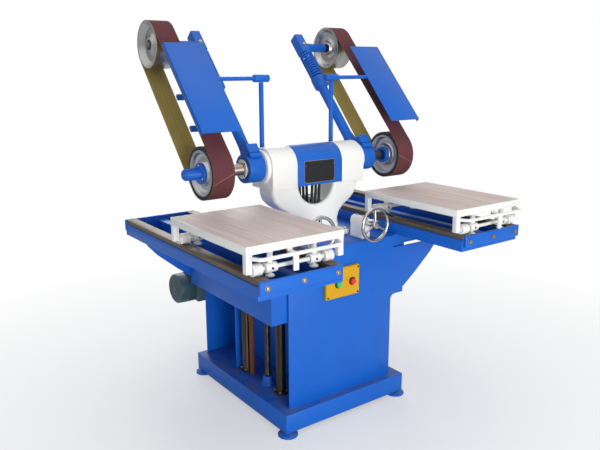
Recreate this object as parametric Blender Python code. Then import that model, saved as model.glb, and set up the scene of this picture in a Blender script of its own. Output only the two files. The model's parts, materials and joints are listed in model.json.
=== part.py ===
# Double-headed abrasive-belt sander: a plinth and sheet cabinet carry a cast neck with one
# through spindle. Each end of the spindle drives a belt that runs up a backward-leaning,
# spring-tensioned arm. Beside the cabinet two rail frames rise on columns, and a wheeled
# table rolls on each of them. X runs along the spindle, Y to the back, Z up, in metres.
import bpy
import bmesh
import math
from mathutils import Matrix
from mathutils import Vector

for old in list(bpy.data.objects):
    bpy.data.objects.remove(old, do_unlink=True)

# ---- fits -------------------------------------------------------------------------------
GAP = 0.0003            # air left between two pieces that touch
SLIDE_FIT = 0.0004      # radial clearance of a shaft or screw in its bore
HUB_AIR = 0.0030        # extra air between a clamp hub and the bearing housing

# ---- travels ----------------------------------------------------------------------------
TENSION_TRAVEL = 0.030  # how far a yoke can be pressed down its arm
LIFT_DOWN = 0.050       # how far a knee sinks below its place at rest
BUTTON_TRAVEL = 0.0035

# ---- heights ----------------------------------------------------------------------------
PLINTH_Z = 0.107        # deck height
TOP_Z = 0.800           # top of the cabinet
SPINDLE_RISE = 0.340    # spindle axis above the cabinet top
SPINDLE_Z = TOP_Z + SPINDLE_RISE

# ---- spindle, heads ---------------------------------------------------------------------
SHAFT_R = 0.025         # spindle radius
HEAD_X = 0.508          # middle of each belt from the machine's middle
BELT_W = 0.098          # belt width
BELT_T = 0.0015         # belt thickness
TYRE_R = 0.1105         # outer radius of the rubber contact tyre
TYRE_T = 0.0150         # rubber thickness
RIM_W = 0.0112          # wall of the contact wheel's rim under the tyre
IDLER_R = 0.1050        # idler radius
IDLER_RIM = 0.009       # wall of the idler's rim
NOSE_R = 0.043          # bearing nose of the neck, inside the clamp hub
BOSS_R = 0.024          # blue boss outside each contact wheel
BOSS_L = 0.073          # how far the boss stands out of the wheel
FLANGE_R = 0.044        # clamp flange at the foot of the boss
COLLAR_R = 0.040        # spindle collar that the wheel's inner side seats on
COLLAR_T = 0.012
END_R = 0.016           # stepped-down spindle end inside the boss
END_OUT = 0.005         # how far the spindle end stands out of the boss
BOSS_SEAT = 0.006       # depth of the boss seat in the wheel's outer face
PULLEY_R = 0.060
PULLEY_HALF = 0.033     # half the width of the pulley

# ---- arms -------------------------------------------------------------------------------
ARM_L = 0.699           # spindle axis to idler axis
ARM_TILT = 41.8         # lean of the arms from the vertical, degrees
ARM_X = 0.300           # plane of the arms from the machine's middle
ARM_TUBE_R = 0.024      # arm tube radius
HUB_R = 0.062           # clamp hub radius
HUB_L = 0.078           # clamp hub length
EAR_OUT = 0.015         # how far the clamp ears stand out of the hub
EAR_ALONG = (0.010, 0.052)   # lower and upper side of the ears along the arm
EAR_INSET = 0.010       # ears from the two ends of the hub
SAW_CUT = 0.003         # slot that splits the ears
AXLE_R = 0.0125         # idler axle radius
GUIDE_R = 0.012         # tension guide rod radius
GUIDE_IN = 0.192        # how deep the guide rod reaches below the spring seat
SPRING_R = 0.026        # mean coil radius
SPRING_WIRE_R = 0.0042  # spring wire radius
SPRING_TURNS = 7
SPRING_L = 0.161        # spring seat to yoke
SEAT_R = SPRING_R + 0.010
SEAT_L = 0.060          # length of the cup that carries the spring
YOKE_H = 0.118          # yoke block length along the arm
YOKE_S = ARM_L - 0.046  # underside of the yoke block along the arm
SEAT_S = YOKE_S - SPRING_L
LUG_S = (SEAT_S - 0.266, SEAT_S - 0.094)

# ---- neck and cover ---------------------------------------------------------------------
HOUSING_R = 0.085       # half depth and top radius of the bearing housings
HOUSING_X = 0.257       # outer end of the white housings
HOUSING_COLLAR_R = 0.074   # round collar between a housing and its clamp hub
HOUSING_COLLAR_L = 0.0155
COVER_X = 0.125         # half length of the blue cover
COVER_T = 0.0025
COVER_BASE_Z = SPINDLE_Z - 0.090  # where the housings and cover meet the fork
WAIST_X = 0.125         # half width of the neck at its waist
FORK_X = 0.098          # half width of the fork's gap
FORK_DEPTH = 0.094
FORK_Y = 0.060          # half depth of the fork and waist
FORK_END_X = HOUSING_X - 0.014   # outer side of the fork under the housings
NECK_FOOT_X = 0.150
NECK_FOOT_H = 0.028
NECK_FOOT_Y = 0.115     # half depth of the foot
DUCT_X = 0.045
DUCT_Y = (-0.035, 0.055)
COLLAR_END_X = HOUSING_X + HOUSING_COLLAR_L
HUB_IN_X = COLLAR_END_X + GAP + HUB_AIR
HUB_OUT_X = HUB_IN_X + HUB_L
NOSE_END_X = HUB_OUT_X + 0.0037

# ---- guards -----------------------------------------------------------------------------
POST_X = HOUSING_X - 0.060
POST_Y = HOUSING_R + 0.005  # behind the spindle axis
POST_R = 0.0105
POST_LUG = 0.018        # half width of the lug that carries a post
POST_LUG_H = 0.080
POST_BASE_Z = SPINDLE_Z + 0.060
ROD_Z = POST_BASE_Z + 0.315  # height of the guard rods
ROD_R = 0.009
SLEEVE_R = 0.0165
SLEEVE_L = 0.075
PIVOT_R = 0.006
GUARD_W = 0.185
GUARD_S0 = 0.060        # lower end of the guard along the arm
GUARD_S1 = 0.530
GUARD_T = 0.003

# ---- base and cabinet -------------------------------------------------------------------
SHEET = 0.004           # cabinet sheet thickness
FRONT_Y = -0.254        # front face of the front panel, from the spindle axis
BACK_Y = 0.495          # back face of the back panel
CABINET_X = 0.300       # half width of the cabinet
PLINTH_X = CABINET_X + 0.045   # half width of the plinth
PLINTH_Y0 = FRONT_Y - 0.042
PLINTH_Y1 = BACK_Y + 0.019
PLATE = 0.006           # plinth plate thickness
FOOT_H = 0.020
FOOT_R = 0.045
FOOT_INSET = 0.024
TOP_T = 0.010           # thickness of the cabinet's top plate
WEB_X = 0.120           # half width of the inner box web
WEB_T = 0.006
FLARE_Z1 = TOP_Z - 0.058  # top of the flared cheeks
FLARE_Z0 = FLARE_Z1 - 0.237   # where they start
FLARE_X = CABINET_X + 0.300   # how far they reach
SIDE_TOP_Z = FLARE_Z0 - 0.065
SIDE_INSET = 0.008      # right-hand edge of the front sheet, in from the back sheet's

# ---- lifts ------------------------------------------------------------------------------
COLUMN_X = 0.240
COLUMN_R = 0.022
COLUMN_Y = (-0.103, 0.192)
COLUMN_FLANGE = 0.012
BUSH_T = 0.014          # wall of the bushes on columns and screw
SCREW_Y = 0.006
SCREW_R = 0.014
JOURNAL_R = 0.0108      # plain foot of the lead screw
BEARING_R = 0.034
BEARING_H = 0.043
BEARING_TOP_Z = PLINTH_Z + BEARING_H
KNEE_X0 = COLUMN_X - 0.040
KNEE_X1 = COLUMN_X + 0.140
KNEE_Z1 = TOP_Z - GAP
KNEE_Z0 = KNEE_Z1 - 0.2927
KNEE_WALL = 0.010
KNEE_SIDE_GAP = 0.006   # knee to front and back panels
COLUMN_TOP_Z = KNEE_Z1 - KNEE_WALL - LIFT_DOWN - 0.0047
TOP_X = KNEE_X0 - 0.010  # half width of the cabinet's top plate

# ---- rail frames ------------------------------------------------------------------------
FRAME_X0 = 0.325
FRAME_X1 = 0.690
FRAME_Z = KNEE_Z1 + GAP
FRAME_PLATE = 0.006
CHANNEL_W = 0.060       # width of the outer channels
MIDDLE_X = (0.490, 0.530)      # sides of the middle channel
CHANNEL_H = 0.050
CHANNEL_T = 0.006       # wall of the downward-open channels
RAIL_W = 0.046
RAIL_H = 0.020
RAIL_X = (FRAME_X0 + 0.030, FRAME_X1 - 0.027)
RAIL_Y0 = -0.636        # front end of the rails
RAIL_Y1 = 0.505         # back end
BEAM_T = 0.014
BEAM_H = 0.051
RAIL_TOP_Z = FRAME_Z + CHANNEL_H + GAP + RAIL_H

# ---- tables -----------------------------------------------------------------------------
TABLE_X0 = FRAME_X0 - 0.034
TABLE_X1 = FRAME_X1 + 0.022
TABLE_L = 0.572
TABLE_Y0 = {-1: RAIL_Y0 + 0.038, 1: RAIL_Y0 + 0.005}
TABLE_TOP_Z = RAIL_TOP_Z + 0.1127
LIP_H = 0.030
LIP_T = 0.004
LEDGE_W = 0.034
LEG_W = 0.024
LEG_FOOT_Z = RAIL_TOP_Z + 0.0157
ROLLER_R = 0.022
ROLLER_W = 0.038
AXLE_ROD_R = 0.008
AXLE_INSET = 0.020      # axles from the table's front and back edges
BLOCK_X = (RAIL_X[0] + 0.060, RAIL_X[1] - 0.058)
BLOCK_R = 0.0185
BLOCK_HALF = 0.024
HANDLE_R = 0.007
HANDLE_OUT = 0.034      # handle bar in front of the table edge
HANDLE_DROP = 0.012     # handle bar below the lip

# ---- handwheels, controls, motor --------------------------------------------------------
HANDWHEEL_X = 0.155
HANDWHEEL_Z = TOP_Z + 0.078
HANDWHEEL_R = 0.074
HANDWHEEL_RIM_R = 0.0075
HANDWHEEL_Y = FRONT_Y - 0.031
HW_SHAFT_R = 0.009
HW_BLOCK_Y = (FRONT_Y + 0.029, FRONT_Y + 0.114)
HW_BLOCK_X = 0.024      # half width of the bearing block
CONTROL_X = (-0.113, 0.075)
CONTROL_Z = (TOP_Z - 0.228, TOP_Z - 0.093)
CONTROL_T = 0.020
BUTTON_R = 0.0135
BUTTON_Z = CONTROL_Z[0] + 0.064
BUTTON_X = {"start_button": -0.047, "stop_button": 0.033}
BUTTON_OUT = 0.014
BUTTON_STEM = 0.010
MOTOR_R = 0.078
MOTOR_X = (-0.425, -0.130)
MOTOR_Z = TOP_Z - 0.348
MOTOR_STANDOFF = 0.022
MOTOR_SHAFT_R = 0.014
MOTOR_PULLEY_R = 0.045

# The middle of the machine's depth lies at Y = 0.
MOTOR_Y = BACK_Y + MOTOR_STANDOFF + MOTOR_R
FRONT_EXTENT = min(TABLE_Y0.values()) - HANDLE_OUT - HANDLE_R
BACK_EXTENT = MOTOR_Y + MOTOR_R
SPINDLE_Y = -(FRONT_EXTENT + BACK_EXTENT) / 2


# ---- small tools ------------------------------------------------------------------------
def material(name, colour, rough, metal):
    """A Principled material from an sRGB hex colour."""
    def channel(text):
        value = int(text, 16) / 255
        if value <= 0.04045:
            return value / 12.92
        return ((value + 0.055) / 1.055) ** 2.4

    made = bpy.data.materials.new(name)
    made.use_nodes = True
    shader = made.node_tree.nodes["Principled BSDF"]
    rgb = [channel(colour[i:i + 2]) for i in (0, 2, 4)]
    shader.inputs["Base Color"].default_value = (*rgb, 1.0)
    shader.inputs["Roughness"].default_value = rough
    shader.inputs["Metallic"].default_value = metal
    made.diffuse_color = (*rgb, 1.0)
    return made


def to_object(bm, name="piece"):
    """Turn a bmesh into an object in the scene, normals outward."""
    bmesh.ops.recalc_face_normals(bm, faces=bm.faces[:])
    mesh = bpy.data.meshes.new(name)
    bm.to_mesh(mesh)
    bm.free()
    made = bpy.data.objects.new(name, mesh)
    bpy.context.scene.collection.objects.link(made)
    return made


def prism(axis, outline, lo, hi):
    """Extrude a flat outline along an axis. Outline axes keep the x, y, z order."""
    lo, hi = min(lo, hi), max(lo, hi)
    bm = bmesh.new()
    spots = {"x": lambda u, v, w: (w, u, v),
             "y": lambda u, v, w: (u, w, v),
             "z": lambda u, v, w: (u, v, w)}[axis]
    low = [bm.verts.new(spots(u, v, lo)) for u, v in outline]
    high = [bm.verts.new(spots(u, v, hi)) for u, v in outline]
    bm.faces.new(low)
    bm.faces.new(high)
    count = len(outline)
    for i in range(count):
        j = (i + 1) % count
        bm.faces.new((low[i], low[j], high[j], high[i]))
    return to_object(bm)


def box(x0, x1, y0, y1, z0, z1):
    x0, x1 = min(x0, x1), max(x0, x1)
    return prism("z", [(x0, y0), (x1, y0), (x1, y1), (x0, y1)], z0, z1)


def lathe(profile, origin, direction, segments=24, closed=False):
    """Turn a profile of (along, radius) about a line. Closed profiles make a ring."""
    bm = bmesh.new()
    axis = Vector(direction).normalized()
    side = axis.orthogonal().normalized()
    other = axis.cross(side)
    start = Vector(origin)
    rings = []
    for along, radius in profile:
        centre = start + axis * along
        if radius < 1e-9:
            rings.append([bm.verts.new(centre)])
            continue
        ring = []
        for k in range(segments):
            angle = 2 * math.pi * k / segments
            ring.append(bm.verts.new(centre + radius * (math.cos(angle) * side
                                                        + math.sin(angle) * other)))
        rings.append(ring)
    pairs = list(zip(rings, rings[1:]))
    if closed:
        pairs.append((rings[-1], rings[0]))
    for one, two in pairs:
        for k in range(segments):
            j = (k + 1) % segments
            if len(one) == 1 and len(two) == 1:
                continue
            if len(one) == 1:
                bm.faces.new((one[0], two[k], two[j]))
            elif len(two) == 1:
                bm.faces.new((one[k], one[j], two[0]))
            else:
                bm.faces.new((one[k], one[j], two[j], two[k]))
    if not closed:
        for ring in (rings[0], rings[-1]):
            if len(ring) > 1:
                bm.faces.new(ring)
    return to_object(bm)


def rod(start, end, radius, segments=16):
    line = Vector(end) - Vector(start)
    return lathe([(0, radius), (line.length, radius)], start, line, segments)


def swept(points, radius, segments=6):
    """A round bar along a run of points."""
    bm = bmesh.new()
    count = len(points)
    rings = []
    up = None
    for i in range(count):
        ahead = (points[min(i + 1, count - 1)] - points[max(i - 1, 0)]).normalized()
        if up is None:
            up = ahead.orthogonal().normalized()
        up = (up - ahead * up.dot(ahead)).normalized()
        side = ahead.cross(up)
        ring = []
        for k in range(segments):
            angle = 2 * math.pi * k / segments
            ring.append(bm.verts.new(points[i] + radius * (math.cos(angle) * up
                                                           + math.sin(angle) * side)))
        rings.append(ring)
    for one, two in zip(rings, rings[1:]):
        for k in range(segments):
            j = (k + 1) % segments
            bm.faces.new((one[k], one[j], two[j], two[k]))
    bm.faces.new(rings[0])
    bm.faces.new(rings[-1])
    return to_object(bm)


def combine(target, other, operation):
    """Run one exact boolean and keep only the result."""
    step = target.modifiers.new("step", "BOOLEAN")
    step.operation = operation
    step.solver = "EXACT"
    step.object = other
    graph = bpy.context.evaluated_depsgraph_get()
    result = bpy.data.meshes.new_from_object(target.evaluated_get(graph))
    target.modifiers.clear()
    target.data = result
    bpy.data.objects.remove(other, do_unlink=True)
    return target


def fuse(target, *others):
    for other in others:
        combine(target, other, "UNION")
    return target


def cut(target, *others):
    for other in others:
        combine(target, other, "DIFFERENCE")
    return target


def soften(target, width, angle=50.0, segments=1):
    """Bevel the sharp edges of a flat-sided piece."""
    bm = bmesh.new()
    bm.from_mesh(target.data)
    sharp = [e for e in bm.edges if e.is_manifold and e.calc_face_angle() > math.radians(angle)]
    bmesh.ops.bevel(bm, geom=sharp, offset=width, segments=segments, affect="EDGES",
                    clamp_overlap=True)
    bm.to_mesh(target.data)
    bm.free()
    return target


def lean(target):
    """Tip a piece built upright about the origin to the arm's lean, then lift it in place."""
    turn = Matrix.Rotation(math.radians(-ARM_TILT), 4, "X")
    target.data.transform(Matrix.Translation((0, SPINDLE_Y, SPINDLE_Z)) @ turn)
    return target


def on_arm(along, off=0.0):
    """World Y and Z of a spot given along the arm and off its front side."""
    tilt = math.radians(ARM_TILT)
    y = SPINDLE_Y + along * math.sin(tilt) - off * math.cos(tilt)
    z = SPINDLE_Z + along * math.cos(tilt) + off * math.sin(tilt)
    return y, z


def name_node(target, name, finish, origin=(0, 0, 0), smooth=30.0):
    """Name a finished piece, give it its material and put its origin on its axis."""
    target.name = name
    target.data.name = name
    target.data.materials.clear()
    target.data.materials.append(finish)
    bm = bmesh.new()
    bm.from_mesh(target.data)
    bmesh.ops.remove_doubles(bm, verts=bm.verts[:], dist=1e-6)
    bmesh.ops.dissolve_degenerate(bm, edges=bm.edges[:], dist=1e-7)
    for face in bm.faces:
        face.smooth = True
        face.material_index = 0
    for edge in bm.edges:
        if edge.is_manifold and edge.calc_face_angle() > math.radians(smooth):
            edge.smooth = False
    bm.to_mesh(target.data)
    bm.free()
    target.data.transform(Matrix.Translation(-Vector(origin)))
    target.location = origin
    return target


# ---- materials --------------------------------------------------------------------------
BLUE = material("blue_paint", "2F6FD4", 0.42, 0.0)
WHITE = material("white_paint", "EFEFE8", 0.45, 0.0)
CREAM = material("cream_cast_paint", "F3F1EA", 0.40, 0.0)
STEEL = material("turned_steel", "8E8880", 0.32, 1.0)
ALU = material("machined_aluminium", "AFAFB4", 0.34, 1.0)
RUBBER = material("black_rubber", "1C2020", 0.80, 0.0)
BELT = material("abrasive_belt", "6B2E30", 0.90, 0.0)
RUST = material("brown_rail_steel", "5E5348", 0.60, 0.6)
DARK = material("oiled_column_steel", "3C362E", 0.45, 0.7)
PLY = material("plywood", "B89A8C", 0.65, 0.0)
YELLOW = material("yellow_plate", "E4AC00", 0.45, 0.0)
GREEN = material("green_button", "2FBF6C", 0.35, 0.0)
RED = material("red_button", "DF3020", 0.35, 0.0)
MOTOR = material("motor_paint", "35505A", 0.50, 0.0)


# ---- base -------------------------------------------------------------------------------
def make_base():
    y0 = SPINDLE_Y + PLINTH_Y0
    y1 = SPINDLE_Y + PLINTH_Y1
    plinth = box(-PLINTH_X, PLINTH_X, y0, y1, FOOT_H, PLINTH_Z)
    cut(plinth, box(-PLINTH_X + PLATE, PLINTH_X - PLATE, y0 + PLATE, y1 - PLATE,
                    FOOT_H - 0.01, PLINTH_Z - PLATE))
    pad = FOOT_INSET - 0.002
    for x in (-PLINTH_X + FOOT_INSET, PLINTH_X - FOOT_INSET):
        for y in (y0 + FOOT_INSET, y1 - FOOT_INSET):
            foot = lathe([(0, FOOT_R), (0.008, FOOT_R), (0.014, 0.016),
                          (FOOT_H + 0.030, 0.016)], (x, y, 0), (0, 0, 1), 12)
            bracket = box(x - pad, x + pad, y - pad, y + pad, FOOT_H, FOOT_H + 0.012)
            fuse(plinth, foot, bracket)
    # Bearing bosses for the two lead screws stand on the deck.
    for sign in (-1, 1):
        at = (sign * COLUMN_X, SPINDLE_Y + SCREW_Y, PLINTH_Z - 0.002)
        fuse(plinth, lathe([(0, BEARING_R), (0.012, BEARING_R), (0.016, BEARING_R * 0.72),
                            (BEARING_H + 0.002, BEARING_R * 0.66)],
                           at, (0, 0, 1), 16))
        cut(plinth, rod((at[0], at[1], PLINTH_Z + 0.012), (at[0], at[1], BEARING_TOP_Z + 0.01),
                        JOURNAL_R + SLIDE_FIT, 20))
    name_node(plinth, "base_plinth", BLUE)


def flare(sign):
    """Outline points of one flared cheek, from the waist up to the outer top corner."""
    rise = FLARE_Z1 - FLARE_Z0
    reach = FLARE_X - CABINET_X
    spots = [(0.0, 0.0), (0.05, 0.035), (0.25, 0.14), (0.50, 0.38), (0.83, 0.73), (1.0, 0.97),
             (1.0, 1.0)]
    return [(sign * (CABINET_X + u * reach), FLARE_Z0 + v * rise) for u, v in spots]


def make_cabinet():
    low = PLINTH_Z + GAP
    # Front sheet: straight on the left, flared on the right, raised in the middle.
    y = SPINDLE_Y + FRONT_Y
    edge = CABINET_X - SIDE_INSET
    outline = [(-CABINET_X, low), (edge, low), (edge, FLARE_Z0 - 0.012)]
    outline += flare(1)
    outline += [(CABINET_X, FLARE_Z1), (CABINET_X, TOP_Z), (-CABINET_X, TOP_Z)]
    name_node(prism("y", outline, y, y + SHEET), "front_panel", BLUE)
    # Back sheet: flared on both sides.
    y = SPINDLE_Y + BACK_Y
    left = flare(-1)
    outline = [(-CABINET_X, low), (CABINET_X, low)] + flare(1)
    outline += [(CABINET_X, FLARE_Z1), (CABINET_X, TOP_Z), (-CABINET_X, TOP_Z),
                (-CABINET_X, FLARE_Z1)]
    outline += list(reversed(left))
    name_node(prism("y", outline, y - SHEET, y), "back_panel", BLUE)
    # Inner box web that carries the top.
    y0 = SPINDLE_Y + FRONT_Y + SHEET + GAP
    y1 = SPINDLE_Y + BACK_Y - SHEET - GAP
    web = box(-WEB_X, WEB_X, y0, y1, low, TOP_Z - TOP_T - GAP)
    cut(web, box(-WEB_X + WEB_T, WEB_X - WEB_T, y0 + WEB_T, y1 - WEB_T, low - 0.01, TOP_Z))
    name_node(web, "cabinet_web", BLUE)
    top = box(-TOP_X, TOP_X, y0, y1, TOP_Z - TOP_T, TOP_Z)
    margin = 0.005
    cut(top, box(-DUCT_X - margin, DUCT_X + margin, SPINDLE_Y + DUCT_Y[0] - margin,
                 SPINDLE_Y + DUCT_Y[1] + margin, TOP_Z - TOP_T - 0.01, TOP_Z + 0.01))
    name_node(top, "cabinet_top", BLUE)
    side = box(edge - SHEET, edge, y0, y1, low, SIDE_TOP_Z)
    name_node(side, "side_panel_right", BLUE)


# ---- neck, cover, posts -----------------------------------------------------------------
def dee(radius, base):
    """Half-round top on a flat-bottomed body, in the Y-Z plane."""
    points = [(SPINDLE_Y - radius, base)]
    for k in range(17):
        angle = math.pi - math.pi * k / 16
        points.append((SPINDLE_Y + radius * math.cos(angle), SPINDLE_Z + radius * math.sin(angle)))
    points.append((SPINDLE_Y + radius, base))
    return points


def make_neck():
    # Half outline from the foot past the waist to the housings: share of the way from the
    # waist's half width to the fork's outer side, and share of the neck's height.
    half = []
    for across, up in ((0.05, 0.10), (0.0, 0.27), (0.08, 0.405), (0.31, 0.52), (0.65, 0.623),
                       (0.88, 0.73), (0.975, 0.846), (1.0, 1.0)):
        half.append((WAIST_X + across * (FORK_END_X - WAIST_X),
                     TOP_Z + up * (COVER_BASE_Z - TOP_Z)))
    inner = []
    for k in range(6):
        angle = math.pi / 2 * k / 5
        inner.append((FORK_X * math.cos(angle), COVER_BASE_Z - FORK_DEPTH * math.sin(angle)))
    outline = half + inner
    outline += [(-x, z) for x, z in reversed(inner[:-1])]
    outline += [(-x, z) for x, z in reversed(half)]
    neck = prism("y", outline, SPINDLE_Y - FORK_Y, SPINDLE_Y + FORK_Y)
    foot = box(-NECK_FOOT_X, NECK_FOOT_X, SPINDLE_Y - NECK_FOOT_Y, SPINDLE_Y + NECK_FOOT_Y,
               TOP_Z + GAP, TOP_Z + NECK_FOOT_H)
    soften(foot, 0.006)
    fuse(neck, foot)
    # A duct down the middle for the drive belts.
    cut(neck, box(-DUCT_X, DUCT_X, SPINDLE_Y + DUCT_Y[0], SPINDLE_Y + DUCT_Y[1], TOP_Z - 0.01,
                  COVER_BASE_Z - FORK_DEPTH + 0.035))
    for sign in (-1, 1):
        low = COVER_X + GAP
        fuse(neck, prism("x", dee(HOUSING_R, COVER_BASE_Z - 0.006), sign * low,
                         sign * HOUSING_X))
        for end, radius in ((COLLAR_END_X, HOUSING_COLLAR_R), (NOSE_END_X, NOSE_R)):
            fuse(neck, rod((sign * (HOUSING_X - 0.01), SPINDLE_Y, SPINDLE_Z),
                           (sign * end, SPINDLE_Y, SPINDLE_Z), radius, 28))
        lug = box(sign * (POST_X - POST_LUG), sign * (POST_X + POST_LUG),
                  SPINDLE_Y + HOUSING_R - 0.015, SPINDLE_Y + POST_Y + POST_LUG,
                  POST_BASE_Z - POST_LUG_H, POST_BASE_Z)
        soften(lug, 0.003)
        fuse(neck, lug)
    bore = SHAFT_R + SLIDE_FIT
    reach = NOSE_END_X + 0.1
    cut(neck, rod((-reach, SPINDLE_Y, SPINDLE_Z), (reach, SPINDLE_Y, SPINDLE_Z), bore, 28))
    name_node(neck, "neck_casting", CREAM)
    cover = prism("x", dee(HOUSING_R, COVER_BASE_Z + GAP), -COVER_X, COVER_X)
    cut(cover, prism("x", dee(HOUSING_R - COVER_T, COVER_BASE_Z - 0.01), -COVER_X - 0.05,
                     COVER_X + 0.05))
    name_node(cover, "pulley_cover", BLUE)


def make_post(sign, tag):
    x = sign * POST_X
    y = SPINDLE_Y + POST_Y
    shoulder = ROD_Z - SLEEVE_R - POST_BASE_Z - 2 * GAP
    profile = [(0, POST_R * 1.5), (0.006, POST_R * 1.5), (0.008, POST_R), (shoulder, POST_R),
               (shoulder, PIVOT_R),
               (ROD_Z - POST_BASE_Z + 0.004, PIVOT_R)]
    post = lathe(profile, (x, y, POST_BASE_Z + GAP), (0, 0, 1), 16)
    name_node(post, "guard_post_" + tag, BLUE)


# ---- spindle group ----------------------------------------------------------------------
def make_spindle():
    end = HEAD_X + BELT_W / 2 + BOSS_L + END_OUT
    step = BOSS_L + END_OUT + BOSS_SEAT
    collar = end - HEAD_X + BELT_W / 2 + GAP
    half = [(0, END_R - 0.003), (0.003, END_R), (step, END_R), (step, SHAFT_R),
            (collar, SHAFT_R), (collar, COLLAR_R), (collar + COLLAR_T, COLLAR_R),
            (collar + COLLAR_T, SHAFT_R), (end - PULLEY_HALF, SHAFT_R),
            (end - PULLEY_HALF, PULLEY_R), (end - PULLEY_HALF + 0.007, PULLEY_R),
            (end - PULLEY_HALF + 0.013, PULLEY_R - 0.009)]
    profile = half + [(2 * end - along, radius) for along, radius in reversed(half)]
    shaft = lathe(profile, (-end, SPINDLE_Y, SPINDLE_Z), (1, 0, 0), 20)
    name_node(shaft, "spindle_shaft", STEEL, (0, SPINDLE_Y, SPINDLE_Z))


def make_contact_wheel(sign, tag):
    origin = (sign * HEAD_X, SPINDLE_Y, SPINDLE_Z)
    half = BELT_W / 2
    bore = SHAFT_R + GAP
    rim = TYRE_R - TYRE_T - GAP
    lip = rim - RIM_W
    out = (sign, 0, 0)
    wheel = lathe([(-half, bore), (-half, 0.045), (-half + 0.018, 0.048),
                   (-half + 0.022, lip - 0.004), (-half, lip), (-half, rim), (half, rim),
                   (half, lip), (half - 0.016, lip - 0.006), (half - 0.020, 0.052),
                   (half - BOSS_SEAT, FLANGE_R + 0.002), (half - BOSS_SEAT, bore)],
                  origin, out, 24, closed=True)
    name_node(wheel, "contact_wheel_" + tag, ALU, origin)
    tyre = lathe([(-half, rim + GAP), (-half, TYRE_R - 0.002), (-half + 0.002, TYRE_R),
                  (half - 0.002, TYRE_R), (half, TYRE_R - 0.002), (half, rim + GAP)],
                 origin, out, 24, closed=True)
    name_node(tyre, "contact_tyre_" + tag, RUBBER, origin)
    # Blue clamp flange and boss on the outer side of the wheel.
    base = half - BOSS_SEAT + GAP
    bore = END_R + GAP
    end = half + BOSS_L
    boss = lathe([(base, bore), (base, FLANGE_R), (base + 0.012, FLANGE_R),
                  (base + 0.014, BOSS_R),
                  (end - 0.003, BOSS_R), (end, BOSS_R - 0.003), (end, bore)],
                 origin, out, 20, closed=True)
    # Two flats for the spanner near the end of the boss.
    for side in (-1, 1):
        cut(boss, box(sign * (HEAD_X + end - 0.022), sign * (HEAD_X + end + 0.01),
                      SPINDLE_Y - 0.05, SPINDLE_Y + 0.05, SPINDLE_Z + side * (BOSS_R - 0.003),
                      SPINDLE_Z + side * 0.05))
    name_node(boss, "clamp_boss_" + tag, BLUE, origin)


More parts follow.
